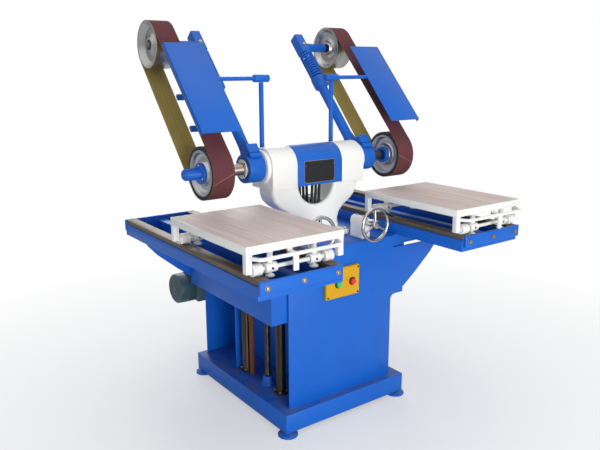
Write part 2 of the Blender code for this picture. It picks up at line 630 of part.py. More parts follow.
# ---- arms -------------------------------------------------------------------------------
def make_arm(sign, tag):
    x = sign * ARM_X
    axis = (0, SPINDLE_Y, SPINDLE_Z)
    hub = rod((sign * HUB_IN_X, 0, 0), (sign * HUB_OUT_X, 0, 0), HUB_R, 28)
    # Split clamp ears on top of the hub with a through bolt.
    ears = box(sign * (HUB_IN_X + EAR_INSET), sign * (HUB_OUT_X - EAR_INSET), -HUB_R - EAR_OUT,
               -NOSE_R + 0.005, *EAR_ALONG)
    soften(ears, 0.003)
    fuse(hub, ears)
    fuse(hub, rod((x, 0, 0.030), (x, 0, SEAT_S - 0.022), ARM_TUBE_R, 20))
    fuse(hub, lathe([(SEAT_S - SEAT_L, ARM_TUBE_R), (SEAT_S - SEAT_L + 0.006, SEAT_R),
                     (SEAT_S, SEAT_R)], (x, 0, 0), (0, 0, 1), 20))
    # Gusset between hub and tube.
    wide = math.sqrt(HUB_R ** 2 - 0.040 ** 2) - 0.003
    narrow = ARM_TUBE_R - 0.002
    gusset = prism("x", [(-wide, 0.040), (wide, 0.040), (narrow, 0.150), (-narrow, 0.150)],
                   x - 0.008, x + 0.008)
    fuse(hub, gusset)
    if sign < 0:
        for along in LUG_S:
            fuse(hub, box(sign * ARM_X, sign * (HEAD_X + 0.010), -0.008, 0.008,
                          along - 0.012, along + 0.012))
    across = (sign * (HUB_IN_X - 0.1), sign * (HUB_OUT_X + 0.1))
    cut(hub, rod((across[0], 0, 0), (across[1], 0, 0), NOSE_R + SLIDE_FIT, 28))
    slot = sum(EAR_ALONG) / 2
    reach = -math.sqrt(NOSE_R ** 2 - slot ** 2) + 0.005
    cut(hub, box(*across, -HUB_R - EAR_OUT - 0.01, reach, slot - SAW_CUT / 2,
                 slot + SAW_CUT / 2))
    guide_end = SEAT_S - GUIDE_IN
    cut(hub, rod((x, 0, guide_end - TENSION_TRAVEL - 0.020), (x, 0, SEAT_S + 0.01),
                 GUIDE_R + SLIDE_FIT, 16))
    name_node(lean(hub), "arm_" + tag, BLUE, axis)
    # Tension slide: yoke block, idler axle, guide rod and side bar.
    block = box(x - sign * 0.025, x + sign * 0.025, -0.027, 0.027, YOKE_S, YOKE_S + YOKE_H)
    soften(block, 0.004)
    axle_end = HEAD_X + BELT_W / 2 - 0.004
    fuse(block, rod((x, 0, ARM_L), (sign * axle_end, 0, ARM_L), AXLE_R, 16))
    fuse(block, rod((x + sign * 0.02, 0, ARM_L), (sign * (HEAD_X - BELT_W / 2 - 0.012), 0, ARM_L),
                    0.021, 16))
    fuse(block, rod((x, 0, guide_end), (x, 0, YOKE_S + 0.01), GUIDE_R, 16))
    bar_x = x + sign * (SEAT_R + 0.0045)
    fuse(block, box(bar_x - 0.003, bar_x + 0.003, -0.010, 0.010, SEAT_S - 0.045, YOKE_S + 0.040))
    fuse(block, box(x, bar_x, -0.010, 0.010, YOKE_S + 0.010, YOKE_S + 0.034))
    name_node(lean(block), "tension_slide_" + tag, BLUE, (0, *on_arm(ARM_L)))
    # Compression spring between the seat and the yoke.
    low = SEAT_S + GAP + SPRING_WIRE_R
    high = YOKE_S - GAP - SPRING_WIRE_R
    steps = SPRING_TURNS * 9
    points = []
    for k in range(steps + 1):
        part = k / steps
        angle = 2 * math.pi * SPRING_TURNS * part
        points.append(Vector((x + SPRING_R * math.cos(angle), SPRING_R * math.sin(angle),
                              low + (high - low) * part)))
    spring = swept(points, SPRING_WIRE_R, 5)
    name_node(lean(spring), "tension_spring_" + tag, BLUE, (x, *on_arm(SEAT_S)))
    # Idler wheel, dished on both sides.
    centre = (sign * HEAD_X, *on_arm(ARM_L))
    half = BELT_W / 2
    bore = AXLE_R + SLIDE_FIT
    lip = IDLER_R - IDLER_RIM
    idler = lathe([(-half + 0.002, bore), (-half + 0.002, 0.030), (-half + 0.020, 0.034),
                   (-half + 0.024, lip - 0.008), (-half, lip), (-half, IDLER_R - 0.001),
                   (0.0, IDLER_R), (half, IDLER_R - 0.001), (half, lip),
                   (half - 0.024, lip - 0.008), (half - 0.026, 0.034), (half - 0.010, 0.030),
                   (half - 0.010, bore)],
                  centre, (sign, 0, 0), 24, closed=True)
    name_node(idler, "idler_wheel_" + tag, ALU, centre)


def make_belt(sign, tag):
    """A flat loop around the contact tyre and the idler."""
    turns = 18
    # The straight steps of the loop stay outside the round wheels.
    chord = 1 / math.cos(math.pi / turns / 2)

    def loop(grow):
        r0 = (TYRE_R + GAP) * chord + grow
        r1 = (IDLER_R + GAP) * chord + grow
        phi = math.asin((r0 - r1) / ARM_L)
        points = []
        for k in range(turns + 1):
            angle = phi - (math.pi + 2 * phi) * k / turns
            points.append((r0 * math.cos(angle), r0 * math.sin(angle)))
        for k in range(turns + 1):
            angle = math.pi - phi - (math.pi - 2 * phi) * k / turns
            points.append((r1 * math.cos(angle), ARM_L + r1 * math.sin(angle)))
        return points

    bm = bmesh.new()
    rings = []
    for grow, x in ((0, -1), (BELT_T, -1), (BELT_T, 1), (0, 1)):
        across = sign * HEAD_X + x * BELT_W / 2
        rings.append([bm.verts.new((across, y, z)) for y, z in loop(grow)])
    count = len(rings[0])
    for one, two in zip(rings, rings[1:] + rings[:1]):
        for k in range(count):
            j = (k + 1) % count
            bm.faces.new((one[k], one[j], two[j], two[k]))
    belt = to_object(bm)
    name_node(lean(belt), "abrasive_belt_" + tag, BELT, (0, SPINDLE_Y, SPINDLE_Z))


def make_guard(sign, tag):
    tilt = math.radians(ARM_TILT)
    # Distance of the rod's middle in front of the arm's centre line.
    off_rod = -POST_Y * math.cos(tilt) + (ROD_Z - SPINDLE_Z) * math.sin(tilt)
    off = off_rod + ROD_R - 0.001
    inner = sign * (HEAD_X - 0.003 - GUARD_W / 2)
    outer = sign * (HEAD_X - 0.003 + GUARD_W / 2)
    plate = box(inner, outer, -off - GUARD_T, -off, GUARD_S0, GUARD_S1)
    # Short flange folded back along the outer edge.
    fuse(plate, box(outer, outer - sign * GUARD_T, -off - GUARD_T, -off + 0.016,
                    GUARD_S0, GUARD_S1))
    lean(plate)
    y = SPINDLE_Y + POST_Y
    x = sign * POST_X
    fuse(plate, rod((x, y, ROD_Z), (sign * (HEAD_X + 0.02), y, ROD_Z), ROD_R, 12))
    fuse(plate, rod((x - SLEEVE_L / 2, y, ROD_Z), (x + SLEEVE_L / 2, y, ROD_Z), SLEEVE_R, 16))
    cut(plate, rod((x, y, ROD_Z - 0.05), (x, y, ROD_Z + 0.006), PIVOT_R + SLIDE_FIT, 12))
    name_node(plate, "belt_guard_" + tag, BLUE, (x, y, ROD_Z))


# ---- lifts ------------------------------------------------------------------------------
def make_lift(sign, tag):
    x = sign * COLUMN_X
    for name, y in zip(("front", "rear"), COLUMN_Y):
        wide = COLUMN_R + COLUMN_FLANGE
        column = lathe([(0, wide), (0.010, wide), (0.010, COLUMN_R),
                        (COLUMN_TOP_Z - PLINTH_Z - 0.003, COLUMN_R),
                        (COLUMN_TOP_Z - PLINTH_Z, COLUMN_R - 0.003)],
                       (x, SPINDLE_Y + y, PLINTH_Z + GAP), (0, 0, 1), 20)
        name_node(column, "column_" + tag + "_" + name, DARK)
    # Lead screw: journal at the foot, threaded above.
    base = PLINTH_Z + 0.014
    collar = BEARING_TOP_Z - base + GAP
    profile = [(0, JOURNAL_R), (collar, JOURNAL_R), (collar, SCREW_R + 0.005),
               (collar + 0.012, SCREW_R + 0.005), (collar + 0.012, SCREW_R),
               (COLUMN_TOP_Z - base, SCREW_R)]
    axis = (x, SPINDLE_Y + SCREW_Y, base)
    screw = lathe(profile, axis, (0, 0, 1), 12)
    name_node(screw, "lead_screw_" + tag, STEEL, axis)
    # Knee: a box open towards the cabinet's middle.
    y0 = SPINDLE_Y + FRONT_Y + SHEET + KNEE_SIDE_GAP
    y1 = SPINDLE_Y + BACK_Y - SHEET - KNEE_SIDE_GAP
    wall = KNEE_WALL
    knee = box(sign * KNEE_X0, sign * KNEE_X1, y0, y1, KNEE_Z0, KNEE_Z1)
    cut(knee, box(sign * (KNEE_X0 - 0.02), sign * (KNEE_X1 - wall), y0 + wall, y1 - wall,
                  KNEE_Z0 + wall, KNEE_Z1 - wall))
    for y in COLUMN_Y:
        spot = (x, SPINDLE_Y + y)
        fuse(knee, rod((*spot, KNEE_Z0 + 0.002), (*spot, KNEE_Z0 + 0.060), COLUMN_R + BUSH_T,
                       20))
        cut(knee, rod((*spot, KNEE_Z0 - 0.01), (*spot, KNEE_Z0 + 0.08),
                      COLUMN_R + SLIDE_FIT, 20))
    spot = (x, SPINDLE_Y + SCREW_Y)
    fuse(knee, rod((*spot, KNEE_Z0 - 0.014), (*spot, KNEE_Z0 + 0.030), SCREW_R + BUSH_T, 16))
    cut(knee, rod((*spot, KNEE_Z0 - 0.03), (*spot, KNEE_Z0 + 0.05), SCREW_R + SLIDE_FIT, 16))
    name_node(knee, "knee_" + tag, BLUE, (x, SPINDLE_Y + SCREW_Y, KNEE_Z0))
    # Rail frame: bottom plate, three lengthwise channels, front and rear beams.
    f0 = SPINDLE_Y + RAIL_Y0
    f1 = SPINDLE_Y + RAIL_Y1
    frame = box(sign * FRAME_X0, sign * FRAME_X1, f0, f1, FRAME_Z, FRAME_Z + FRAME_PLATE)
    top = FRAME_Z + CHANNEL_H
    wall = CHANNEL_T
    channels = ((FRAME_X0, FRAME_X0 + CHANNEL_W), MIDDLE_X, (FRAME_X1 - CHANNEL_W, FRAME_X1))
    for a, b in channels:
        fuse(frame, box(sign * a, sign * b, f0, f1, FRAME_Z, top))
        cut(frame, box(sign * (a + wall), sign * (b - wall), f0 + wall, f1 - wall,
                       FRAME_Z - 0.01, top - wall))
    beam_top = top + RAIL_H + 2 * GAP
    for a, b in ((f0 - BEAM_T, f0), (f1, f1 + BEAM_T)):
        beam = box(sign * (FRAME_X0 + 0.009), sign * (FRAME_X1 + 0.003), a, b,
                   beam_top - BEAM_H, beam_top)
        soften(beam, 0.003)
        fuse(frame, beam)
    name_node(frame, "rail_frame_" + tag, BLUE, (x, SPINDLE_Y, FRAME_Z))
    for name, rail_x in zip(("inner", "outer"), RAIL_X):
        rail = box(sign * (rail_x - RAIL_W / 2), sign * (rail_x + RAIL_W / 2), f0 + GAP,
                   f1 - GAP, top + GAP, top + GAP + RAIL_H)
        name_node(rail, "rail_" + tag + "_" + name, RUST, (x, SPINDLE_Y, top))


# ---- tables -----------------------------------------------------------------------------
def make_table(sign, tag):
    y0 = SPINDLE_Y + TABLE_Y0[sign]
    y1 = y0 + TABLE_L
    axle_z = RAIL_TOP_Z + GAP + ROLLER_R
    low = TABLE_TOP_Z - LIP_H
    frame = box(sign * TABLE_X0, sign * TABLE_X1, y0, y1, low, TABLE_TOP_Z)
    soften(frame, 0.003)
    cut(frame, box(sign * (TABLE_X0 + LIP_T), sign * (TABLE_X1 - LIP_T), y0 + LIP_T, y1 - LIP_T,
                   low + LIP_T, TABLE_TOP_Z + 0.01))
    cut(frame, box(sign * (TABLE_X0 + LEDGE_W), sign * (TABLE_X1 - LEDGE_W), y0 + LEDGE_W,
                   y1 - LEDGE_W, low - 0.01, TABLE_TOP_Z + 0.01))
    axles = (y0 + AXLE_INSET, y1 - AXLE_INSET)
    for y in (y0 + 0.0005, y1 - LEG_W - 0.0005):
        for x in (TABLE_X0 + 0.0005, TABLE_X1 - LEG_W - 0.0005):
            fuse(frame, box(sign * x, sign * (x + LEG_W), y, y + LEG_W, LEG_FOOT_Z, low + 0.002))
    for y in axles:
        for x in BLOCK_X:
            sx = sign * x
            fuse(frame, rod((sx, y, axle_z), (sx, y, low + 0.002), 0.0105, 8))
            fuse(frame, rod((sx - BLOCK_HALF, y, axle_z), (sx + BLOCK_HALF, y, axle_z),
                            BLOCK_R, 10))
            fuse(frame, rod((sx, y, axle_z - 0.030), (sx, y, axle_z), 0.007, 6))
            fuse(frame, rod((sx, y, axle_z - 0.032), (sx, y, axle_z - 0.026), 0.017, 8))
        run = rod((sign * (TABLE_X0 - 0.01), y, axle_z), (sign * (TABLE_X1 + 0.01), y, axle_z),
                  AXLE_ROD_R + SLIDE_FIT, 12)
        cut(frame, run)
    # Handle bar across the front, with a flat upright in the middle.
    bar_y = y0 - HANDLE_OUT
    bar_z = low - HANDLE_DROP
    a = TABLE_X0 + 0.016
    b = TABLE_X1 - 0.016
    corners = [(a, y0 + 0.006), (a + 0.022, bar_y), (b - 0.022, bar_y), (b, y0 + 0.006)]
    for (xa, ya), (xb, yb) in zip(corners, corners[1:]):
        fuse(frame, rod((sign * xa, ya, bar_z), (sign * xb, yb, bar_z), HANDLE_R, 8))
    middle = (TABLE_X0 + TABLE_X1) / 2 + 0.030
    for xa, ya in corners[1:3]:
        fuse(frame, rod((sign * xa, ya, bar_z - HANDLE_R), (sign * xa, ya, bar_z + HANDLE_R),
                        HANDLE_R, 8))
    fuse(frame, box(sign * (middle - 0.011), sign * (middle + 0.011), bar_y - 0.002,
                    bar_y + 0.006, LEG_FOOT_Z - 0.006, bar_z + 0.004))
    fuse(frame, box(sign * (middle - 0.011), sign * (middle + 0.011), bar_y - 0.002,
                    y0 + 0.010, bar_z - 0.004, bar_z + 0.004))
    fuse(frame, box(sign * (middle - 0.011), sign * (middle + 0.011), y0 + 0.002,
                    y0 + 0.010, bar_z - 0.004, low + 0.002))
    name_node(frame, "table_frame_" + tag, WHITE, (sign * 0.5, y0, RAIL_TOP_Z))
    board = box(sign * (TABLE_X0 + LIP_T + GAP), sign * (TABLE_X1 - LIP_T - GAP),
                y0 + LIP_T + GAP, y1 - LIP_T - GAP, low + LIP_T + GAP, TABLE_TOP_Z - 0.0005)
    name_node(board, "table_board_" + tag, PLY, (sign * 0.5, y0, low))
    # Wheelsets: an axle with two flanged rollers made of stacked discs.
    for name, y in zip(("front", "rear"), axles):
        start = RAIL_X[0] - ROLLER_W / 2 - 0.003
        profile = [(0, AXLE_ROD_R)]
        for rail_x in RAIL_X:
            at = rail_x - ROLLER_W / 2 - start
            profile += [(at, AXLE_ROD_R), (at, ROLLER_R), (at + ROLLER_W, ROLLER_R),
                        (at + ROLLER_W, AXLE_ROD_R)]
        profile += [(RAIL_X[1] + ROLLER_W / 2 + 0.003 - start, AXLE_ROD_R)]
        centre = (sign * start, y, axle_z)
        wheelset = lathe(profile, centre, (sign, 0, 0), 16)
        name_node(wheelset, "wheelset_" + tag + "_" + name, WHITE, centre)


# ---- handwheels, controls, motor --------------------------------------------------------
def make_handwheel(sign, tag):
    x = sign * HANDWHEEL_X
    y = SPINDLE_Y + HANDWHEEL_Y
    origin = (x, y, HANDWHEEL_Z)
    block_y0 = SPINDLE_Y + HW_BLOCK_Y[0]
    block_y1 = SPINDLE_Y + HW_BLOCK_Y[1]
    block = box(x - HW_BLOCK_X, x + HW_BLOCK_X, block_y0, block_y1, TOP_Z + GAP, HANDWHEEL_Z)
    soften(block, 0.003)
    fuse(block, rod((x, block_y0, HANDWHEEL_Z), (x, block_y1, HANDWHEEL_Z), HW_BLOCK_X, 20))
    cut(block, rod((x, block_y0 - 0.01, HANDWHEEL_Z), (x, block_y1 + 0.01, HANDWHEEL_Z),
                   HW_SHAFT_R + SLIDE_FIT, 16))
    name_node(block, "handwheel_bearing_" + tag, CREAM)
    ring = []
    for k in range(6):
        angle = 2 * math.pi * k / 6
        ring.append((HANDWHEEL_RIM_R * math.cos(angle),
                     HANDWHEEL_R + HANDWHEEL_RIM_R * math.sin(angle)))
    rim = lathe(ring, origin, (0, 1, 0), 24, closed=True)
    fuse(rim, lathe([(-0.012, 0.018), (0.0, 0.022), (0.016, 0.020),
                     (block_y0 - y - GAP, 0.016)], origin, (0, 1, 0), 12))
    fuse(rim, rod((x, y, HANDWHEEL_Z), (x, block_y1 + 0.02, HANDWHEEL_Z), HW_SHAFT_R, 12))
    for k in range(3):
        angle = math.radians(90 + 120 * k)
        tip = Vector((x + HANDWHEEL_R * math.cos(angle), y, HANDWHEEL_Z
                      + HANDWHEEL_R * math.sin(angle)))
        fuse(rim, rod((x, y + 0.004, HANDWHEEL_Z), tip, 0.0062, 8))
    grip_at = (x + sign * HANDWHEEL_R * math.cos(math.radians(35)), y,
               HANDWHEEL_Z + HANDWHEEL_R * math.sin(math.radians(35)))
    fuse(rim, lathe([(-0.052, 0.0), (-0.050, 0.0065), (-0.030, 0.0085), (-0.008, 0.0060),
                     (-0.004, 0.0045), (0.0, 0.0045)], grip_at, (0, 1, 0), 10))
    name_node(rim, "handwheel_" + tag, STEEL, origin)


def make_controls():
    y1 = SPINDLE_Y + FRONT_Y - GAP
    y0 = y1 - CONTROL_T
    case = box(CONTROL_X[0], CONTROL_X[1], y0, y1, CONTROL_Z[0], CONTROL_Z[1])
    soften(case, 0.0025)
    for name, x in BUTTON_X.items():
        finish = GREEN if name == "start_button" else RED
        cut(case, rod((x, y0 - 0.01, BUTTON_Z), (x, y0 + BUTTON_STEM + BUTTON_TRAVEL + 0.0005, BUTTON_Z),
                      BUTTON_R + SLIDE_FIT, 16))
        origin = (x, y0, BUTTON_Z)
        button = lathe([(-BUTTON_OUT, BUTTON_R - 0.003), (-BUTTON_OUT + 0.003, BUTTON_R),
                        (BUTTON_STEM, BUTTON_R)], origin, (0, 1, 0), 16)
        name_node(button, name, finish, origin)
    name_node(case, "control_plate", YELLOW)


def make_motor():
    y = SPINDLE_Y + MOTOR_Y
    x0, x1 = MOTOR_X
    length = x1 - x0
    body = lathe([(0.0, MOTOR_R * 0.80), (0.006, MOTOR_R * 0.97), (0.055, MOTOR_R),
                  (0.058, MOTOR_R * 0.90), (length - 0.050, MOTOR_R * 0.90),
                  (length - 0.048, MOTOR_R * 0.98), (length - 0.022, MOTOR_R * 0.94),
                  (length, MOTOR_R * 0.45)], (x0, y, MOTOR_Z), (1, 0, 0), 20)
    ribs = 8
    for k in range(ribs):
        angle = 2 * math.pi * (k + 0.5) / ribs
        up = Vector((0, math.cos(angle), math.sin(angle)))
        side = Vector((0, -math.sin(angle), math.cos(angle)))
        corner = []
        for u, v in ((0.85, -0.0018), (1.0, -0.0012), (1.0, 0.0012), (0.85, 0.0018)):
            spot = Vector((0, y, MOTOR_Z)) + up * MOTOR_R * u + side * v
            corner.append((spot.y, spot.z))
        fuse(body, prism("x", corner, x0 + 0.066, x1 - 0.056))
    fuse(body, box(x0 + 0.085, x1 - 0.060, SPINDLE_Y + BACK_Y + GAP, y - 0.03,
                   MOTOR_Z - 0.062, MOTOR_Z + 0.062))
    terminal = box(x0 + 0.100, x0 + 0.180, y - 0.030, y + 0.045, MOTOR_Z + 0.03,
                   MOTOR_Z + MOTOR_R + 0.028)
    soften(terminal, 0.003)
    fuse(body, terminal)
    fuse(body, rod((x1 - 0.01, y, MOTOR_Z), (x1 + 0.050, y, MOTOR_Z), MOTOR_SHAFT_R, 16))
    wide = MOTOR_PULLEY_R
    fuse(body, lathe([(0, wide), (0.004, wide), (0.010, wide - 0.009), (0.018, wide - 0.009),
                      (0.024, wide), (0.028, wide)], (x1 + 0.015, y, MOTOR_Z), (1, 0, 0), 20))
    name_node(body, "drive_motor", MOTOR)


# ---- build ------------------------------------------------------------------------------
make_base()
make_cabinet()
make_neck()
make_spindle()
make_controls()
make_motor()
for side_sign, side_tag in ((-1, "left"), (1, "right")):
    make_post(side_sign, side_tag)
    make_contact_wheel(side_sign, side_tag)
    make_arm(side_sign, side_tag)
    make_belt(side_sign, side_tag)
    make_guard(side_sign, side_tag)
    make_lift(side_sign, side_tag)
    make_table(side_sign, side_tag)
    make_handwheel(side_sign, side_tag)
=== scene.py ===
# %% [markdown]
# # A double-headed belt sander, finished surface by surface
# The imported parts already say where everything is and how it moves. This lesson keeps those places
# and gives each part its real surface: rounded sheet edges, turned wheels, cast bodies, bolts, coils
# and paint. It starts by loading the parts as a fixed frame, which nothing below ever moves.

# %% Load the frame
import json
import math
import bpy
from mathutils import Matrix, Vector

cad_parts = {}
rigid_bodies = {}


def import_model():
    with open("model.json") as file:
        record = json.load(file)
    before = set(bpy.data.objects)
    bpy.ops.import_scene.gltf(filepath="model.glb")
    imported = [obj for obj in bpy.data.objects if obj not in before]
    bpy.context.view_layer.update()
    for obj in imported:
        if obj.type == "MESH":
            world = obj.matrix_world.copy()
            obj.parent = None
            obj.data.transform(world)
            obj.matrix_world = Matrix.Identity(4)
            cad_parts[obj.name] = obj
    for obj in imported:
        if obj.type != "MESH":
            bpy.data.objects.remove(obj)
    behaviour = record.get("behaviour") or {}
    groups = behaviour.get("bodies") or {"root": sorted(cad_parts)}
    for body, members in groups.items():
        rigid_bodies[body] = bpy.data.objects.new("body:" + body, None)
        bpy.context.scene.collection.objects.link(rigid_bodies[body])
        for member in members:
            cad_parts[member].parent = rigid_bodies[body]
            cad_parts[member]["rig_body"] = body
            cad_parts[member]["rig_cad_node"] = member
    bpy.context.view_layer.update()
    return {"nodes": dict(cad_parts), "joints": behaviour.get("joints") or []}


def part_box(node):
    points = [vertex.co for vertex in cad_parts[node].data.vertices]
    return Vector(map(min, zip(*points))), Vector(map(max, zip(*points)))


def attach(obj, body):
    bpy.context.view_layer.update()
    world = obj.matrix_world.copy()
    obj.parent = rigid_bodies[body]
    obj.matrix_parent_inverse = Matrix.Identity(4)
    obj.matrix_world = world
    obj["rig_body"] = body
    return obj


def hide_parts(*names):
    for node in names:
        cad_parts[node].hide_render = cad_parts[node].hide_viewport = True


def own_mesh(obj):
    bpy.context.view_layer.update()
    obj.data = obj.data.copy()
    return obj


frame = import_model()
JOINTS = {joint["name"]: joint for joint in frame["joints"]}
print("joints:", len(JOINTS), "nodes:", len(frame["nodes"]))

# %% [markdown]
# ## Landmarks
# A fitter measures from the spindle, so its axis comes first, then the lean of the two belt arms.
# Both are read from the joints. The few sizes below are the machine's own, in metres, and every
# piece that follows is placed from them or from the box of the part it finishes.

# %% Spindle, arms and fits
SPINDLE = Vector(JOINTS["spindle_spin"]["pos_m"])
SLIDE_AXIS = Vector(JOINTS["tension_right_slide"]["axis"])
LEAN = math.atan2(SLIDE_AXIS.y, SLIDE_AXIS.z)
HEAD_X = JOINTS["idler_right_spin"]["pos_m"][0]
ARM_LENGTH = (Vector(JOINTS["idler_right_spin"]["pos_m"]) - SPINDLE - Vector((HEAD_X, 0, 0))).length
ARM_X = 0.300
BELT_WIDTH = 0.098
HALF_BELT = BELT_WIDTH / 2
TYRE_RADIUS = 0.1105
IDLER_RADIUS = 0.105
GAP = 0.0003             # clearance between pieces on different bodies
SIDES = ((-1, "left"), (1, "right"))
RIGHT, FRONT, BACK, UP = (1, 0, 0), (0, -1, 0), (0, 1, 0), (0, 0, 1)
print("spindle", SPINDLE[:], "lean", round(math.degrees(LEAN), 2), "arm", round(ARM_LENGTH, 4))

# %% [markdown]
# ## Colours and nodes
# Paint makers give colours as hex codes on the sRGB scale, but shaders add light on a linear scale,
# so one function turns the first into the second. One more function adds a shader node with its
# options, its values and its links at once. Pattern sizes are given in millimetres.

# %% Helpers for materials
def srgb(code):
    """A hex colour as linear red, green, blue and alpha."""
    parts = [int(code[i:i + 2], 16) / 255 for i in (0, 2, 4)]
    return [v / 12.92 if v <= 0.04045 else ((v + 0.055) / 1.055) ** 2.4 for v in parts] + [1.0]


def per_mm(size):
    """Texture scale that repeats about once in so many millimetres."""
    return 1000.0 / size


def add(tree, kind, inputs=None, stops=None, **options):
    """Adds one node: options by name, inputs by name or number, each a value or a link."""
    made = tree.nodes.new("ShaderNode" + kind)
    for name, value in options.items():
        setattr(made, name, value)
    for name, value in (inputs or {}).items():
        if isinstance(value, bpy.types.NodeSocket):
            tree.links.new(value, made.inputs[name])
        else:
            made.inputs[name].default_value = value
    for spot, (place, value) in enumerate(stops or ()):
        band = made.color_ramp.elements
        stop = band[spot] if spot < 2 else band.new(place)
        stop.position = place
        stop.color = (value, value, value, 1.0)
    return made


def start_material(name, colour, rough, metal=0.0):
    """A Principled material with its plain values, ready for patterns."""
    made = bpy.data.materials.new(name)
    made.use_nodes = True
    shader = made.node_tree.nodes["Principled BSDF"]
    shader.inputs["Base Color"].default_value = srgb(colour)
    shader.inputs["Roughness"].default_value = rough
    shader.inputs["Metallic"].default_value = metal
    return made, made.node_tree, shader


print("white reads as", srgb("FFFFFF")[:3])

# %% [markdown]
# ## Enamel
# The sheet metal, castings and tables are all brushed or sprayed with shop enamel. It is smooth but
# never flat: it lies in shallow waves a few millimetres wide, its colour drifts a little, and dust
# settles where a face looks up. One function makes them all, because only colour, wave and dust
# change. The waves are a bump, the drift mixes two close shades, and the dust reads which way the
# surface faces.

# %% Enamel paints
def enamel(name, colour, shade, rough, wave, depth, dust=0.0, coat=0.15, shine=0.5):
    """Shop enamel: two close shades, waves of so many millimetres, dust on faces that look up."""
    made, tree, shader = start_material(name, colour, rough)
    where = add(tree, "TexCoord").outputs["Object"]
    drift = add(tree, "TexNoise", {"Vector": where, "Scale": per_mm(140), "Detail": 4.0})
    tone = add(tree, "Mix", {0: drift.outputs[0], 6: srgb(colour), 7: srgb(shade)},
               data_type="RGBA").outputs[2]
    if dust:
        facing = add(tree, "SeparateXYZ", {0: add(tree, "NewGeometry").outputs["Normal"]})
        up = add(tree, "ValToRGB", {0: facing.outputs[2]}, stops=((0.55, 0.0), (0.95, 1.0)))
        patch = add(tree, "TexNoise", {"Vector": where, "Scale": per_mm(60), "Detail": 8.0})
        thick = add(tree, "ValToRGB", {0: patch.outputs[0]}, stops=((0.35, 0.0), (0.70, 1.0)))
        much = add(tree, "Math", {0: up.outputs[0], 1: thick.outputs[0]}, operation="MULTIPLY")
        share = add(tree, "Math", {0: much.outputs[0], 1: dust}, operation="MULTIPLY")
        tone = add(tree, "Mix", {0: share.outputs[0], 6: tone, 7: srgb("6E665C")},
                   data_type="RGBA").outputs[2]
    tree.links.new(tone, shader.inputs["Base Color"])
    lumps = add(tree, "TexNoise", {"Vector": where, "Scale": per_mm(wave), "Detail": 2.0})
    bump = add(tree, "Bump", {"Height": lumps.outputs[0], "Strength": 0.5, "Distance": depth})
    tree.links.new(bump.outputs[0], shader.inputs["Normal"])
    shader.inputs["Coat Weight"].default_value = coat
    shader.inputs["Specular IOR Level"].default_value = shine
    shader.inputs["Coat Roughness"].default_value = 0.25
    return made


# Blue machine enamel: bright, satin, with a soft sheen along every bend.
BLUE = enamel("blue_machine_enamel", "0E65C9", "0C5CBC", 0.42, 9, 0.0002, dust=0.10, coat=0.0,
              shine=0.35)
# The same enamel on the base, where workshop dust lies thick.
DUSTY_BLUE = enamel("dusty_blue_enamel", "0E67CC", "0C5AB6", 0.45, 9, 0.0002, dust=0.55, coat=0.0,
                    shine=0.35)
# White table enamel: slightly grey, a little dust on top of the bars.
WHITE = enamel("white_table_enamel", "F6F6F1", "E9E8E2", 0.40, 7, 0.0002, dust=0.10)
# Cream enamel laid thick over cast iron: slow lumps show under the gloss.
CREAM = enamel("cream_casting_enamel", "F8F7F2", "F0EEE7", 0.34, 16, 0.0010, coat=0.3)
# Yellow enamel of the control box.
YELLOW = enamel("yellow_box_enamel", "DCA800", "CE9900", 0.40, 7, 0.0001, coat=0.0, shine=0.35)
# Dark grey-green motor enamel.
MOTOR_GREEN = enamel("grey_green_motor_enamel", "3A5A60", "2E4A50", 0.50, 6, 0.0002, dust=0.25)
# Red lead primer left bare on the conduit.
PRIMER = enamel("red_oxide_primer", "74402A", "5E3220", 0.75, 5, 0.0001, coat=0.0)
print("enamels:", [m.name for m in (BLUE, DUSTY_BLUE, WHITE, CREAM, YELLOW, MOTOR_GREEN, PRIMER)])

# %% [markdown]
# ## Turned metal
# A lathe tool leaves fine rings round the axis, which draw a reflection out into a bright fan. The
# rings are noise that changes only with the distance from the axis, so the material is told where
# that axis is. Real marks are a tenth of a millimetre apart, too fine to show, so they are drawn
# about one and a half millimetres apart.

# %% Turned aluminium and steel
LATHE_MARK = 1.5        # millimetres between the marks as they are drawn


def turned_metal(name, colour, shade, rough, centre, across):
    """Metal turned about the axis through centre; across keeps the two directions off the axis."""
    made, tree, shader = start_material(name, colour, rough, 1.0)
    where = add(tree, "TexCoord").outputs["Object"]
    moved = add(tree, "Mapping", {"Vector": where, "Location": [-c for c in centre]})
    flat = add(tree, "VectorMath", {0: moved.outputs[0], 1: across}, operation="MULTIPLY")
    away = add(tree, "VectorMath", {0: flat.outputs[0]}, operation="LENGTH").outputs["Value"]
    rings = add(tree, "TexNoise", {"W": away, "Scale": per_mm(LATHE_MARK), "Detail": 3.0},
                noise_dimensions="1D")
    cloud = add(tree, "TexNoise", {"Vector": where, "Scale": per_mm(35), "Detail": 5.0})
    both = add(tree, "Mix", {0: 0.45, 2: rings.outputs[0], 3: cloud.outputs[0]})
    tone = add(tree, "Mix", {0: both.outputs[0], 6: srgb(colour), 7: srgb(shade)},
               data_type="RGBA")
    tree.links.new(tone.outputs[2], shader.inputs["Base Color"])
    bump = add(tree, "Bump", {"Height": rings.outputs[0], "Strength": 0.35, "Distance": 0.0002})
    tree.links.new(bump.outputs[0], shader.inputs["Normal"])
    shader.inputs["Anisotropic"].default_value = 0.75
    round_it = add(tree, "Tangent", direction_type="RADIAL", axis="X")
    tree.links.new(round_it.outputs[0], shader.inputs["Tangent"])
    return made


OFF_X = (0.0, 1.0, 1.0)
IDLER_AXIS = Vector(JOINTS["idler_right_spin"]["pos_m"])
# Cast aluminium faced on a lathe: grey with bright fans.
WHEEL_ALU = turned_metal("turned_aluminium_low", "D6D6DA", "9C9CA2", 0.30, SPINDLE, OFF_X)
IDLER_ALU = turned_metal("turned_aluminium_high", "CFCDCD", "959293", 0.30, IDLER_AXIS, OFF_X)
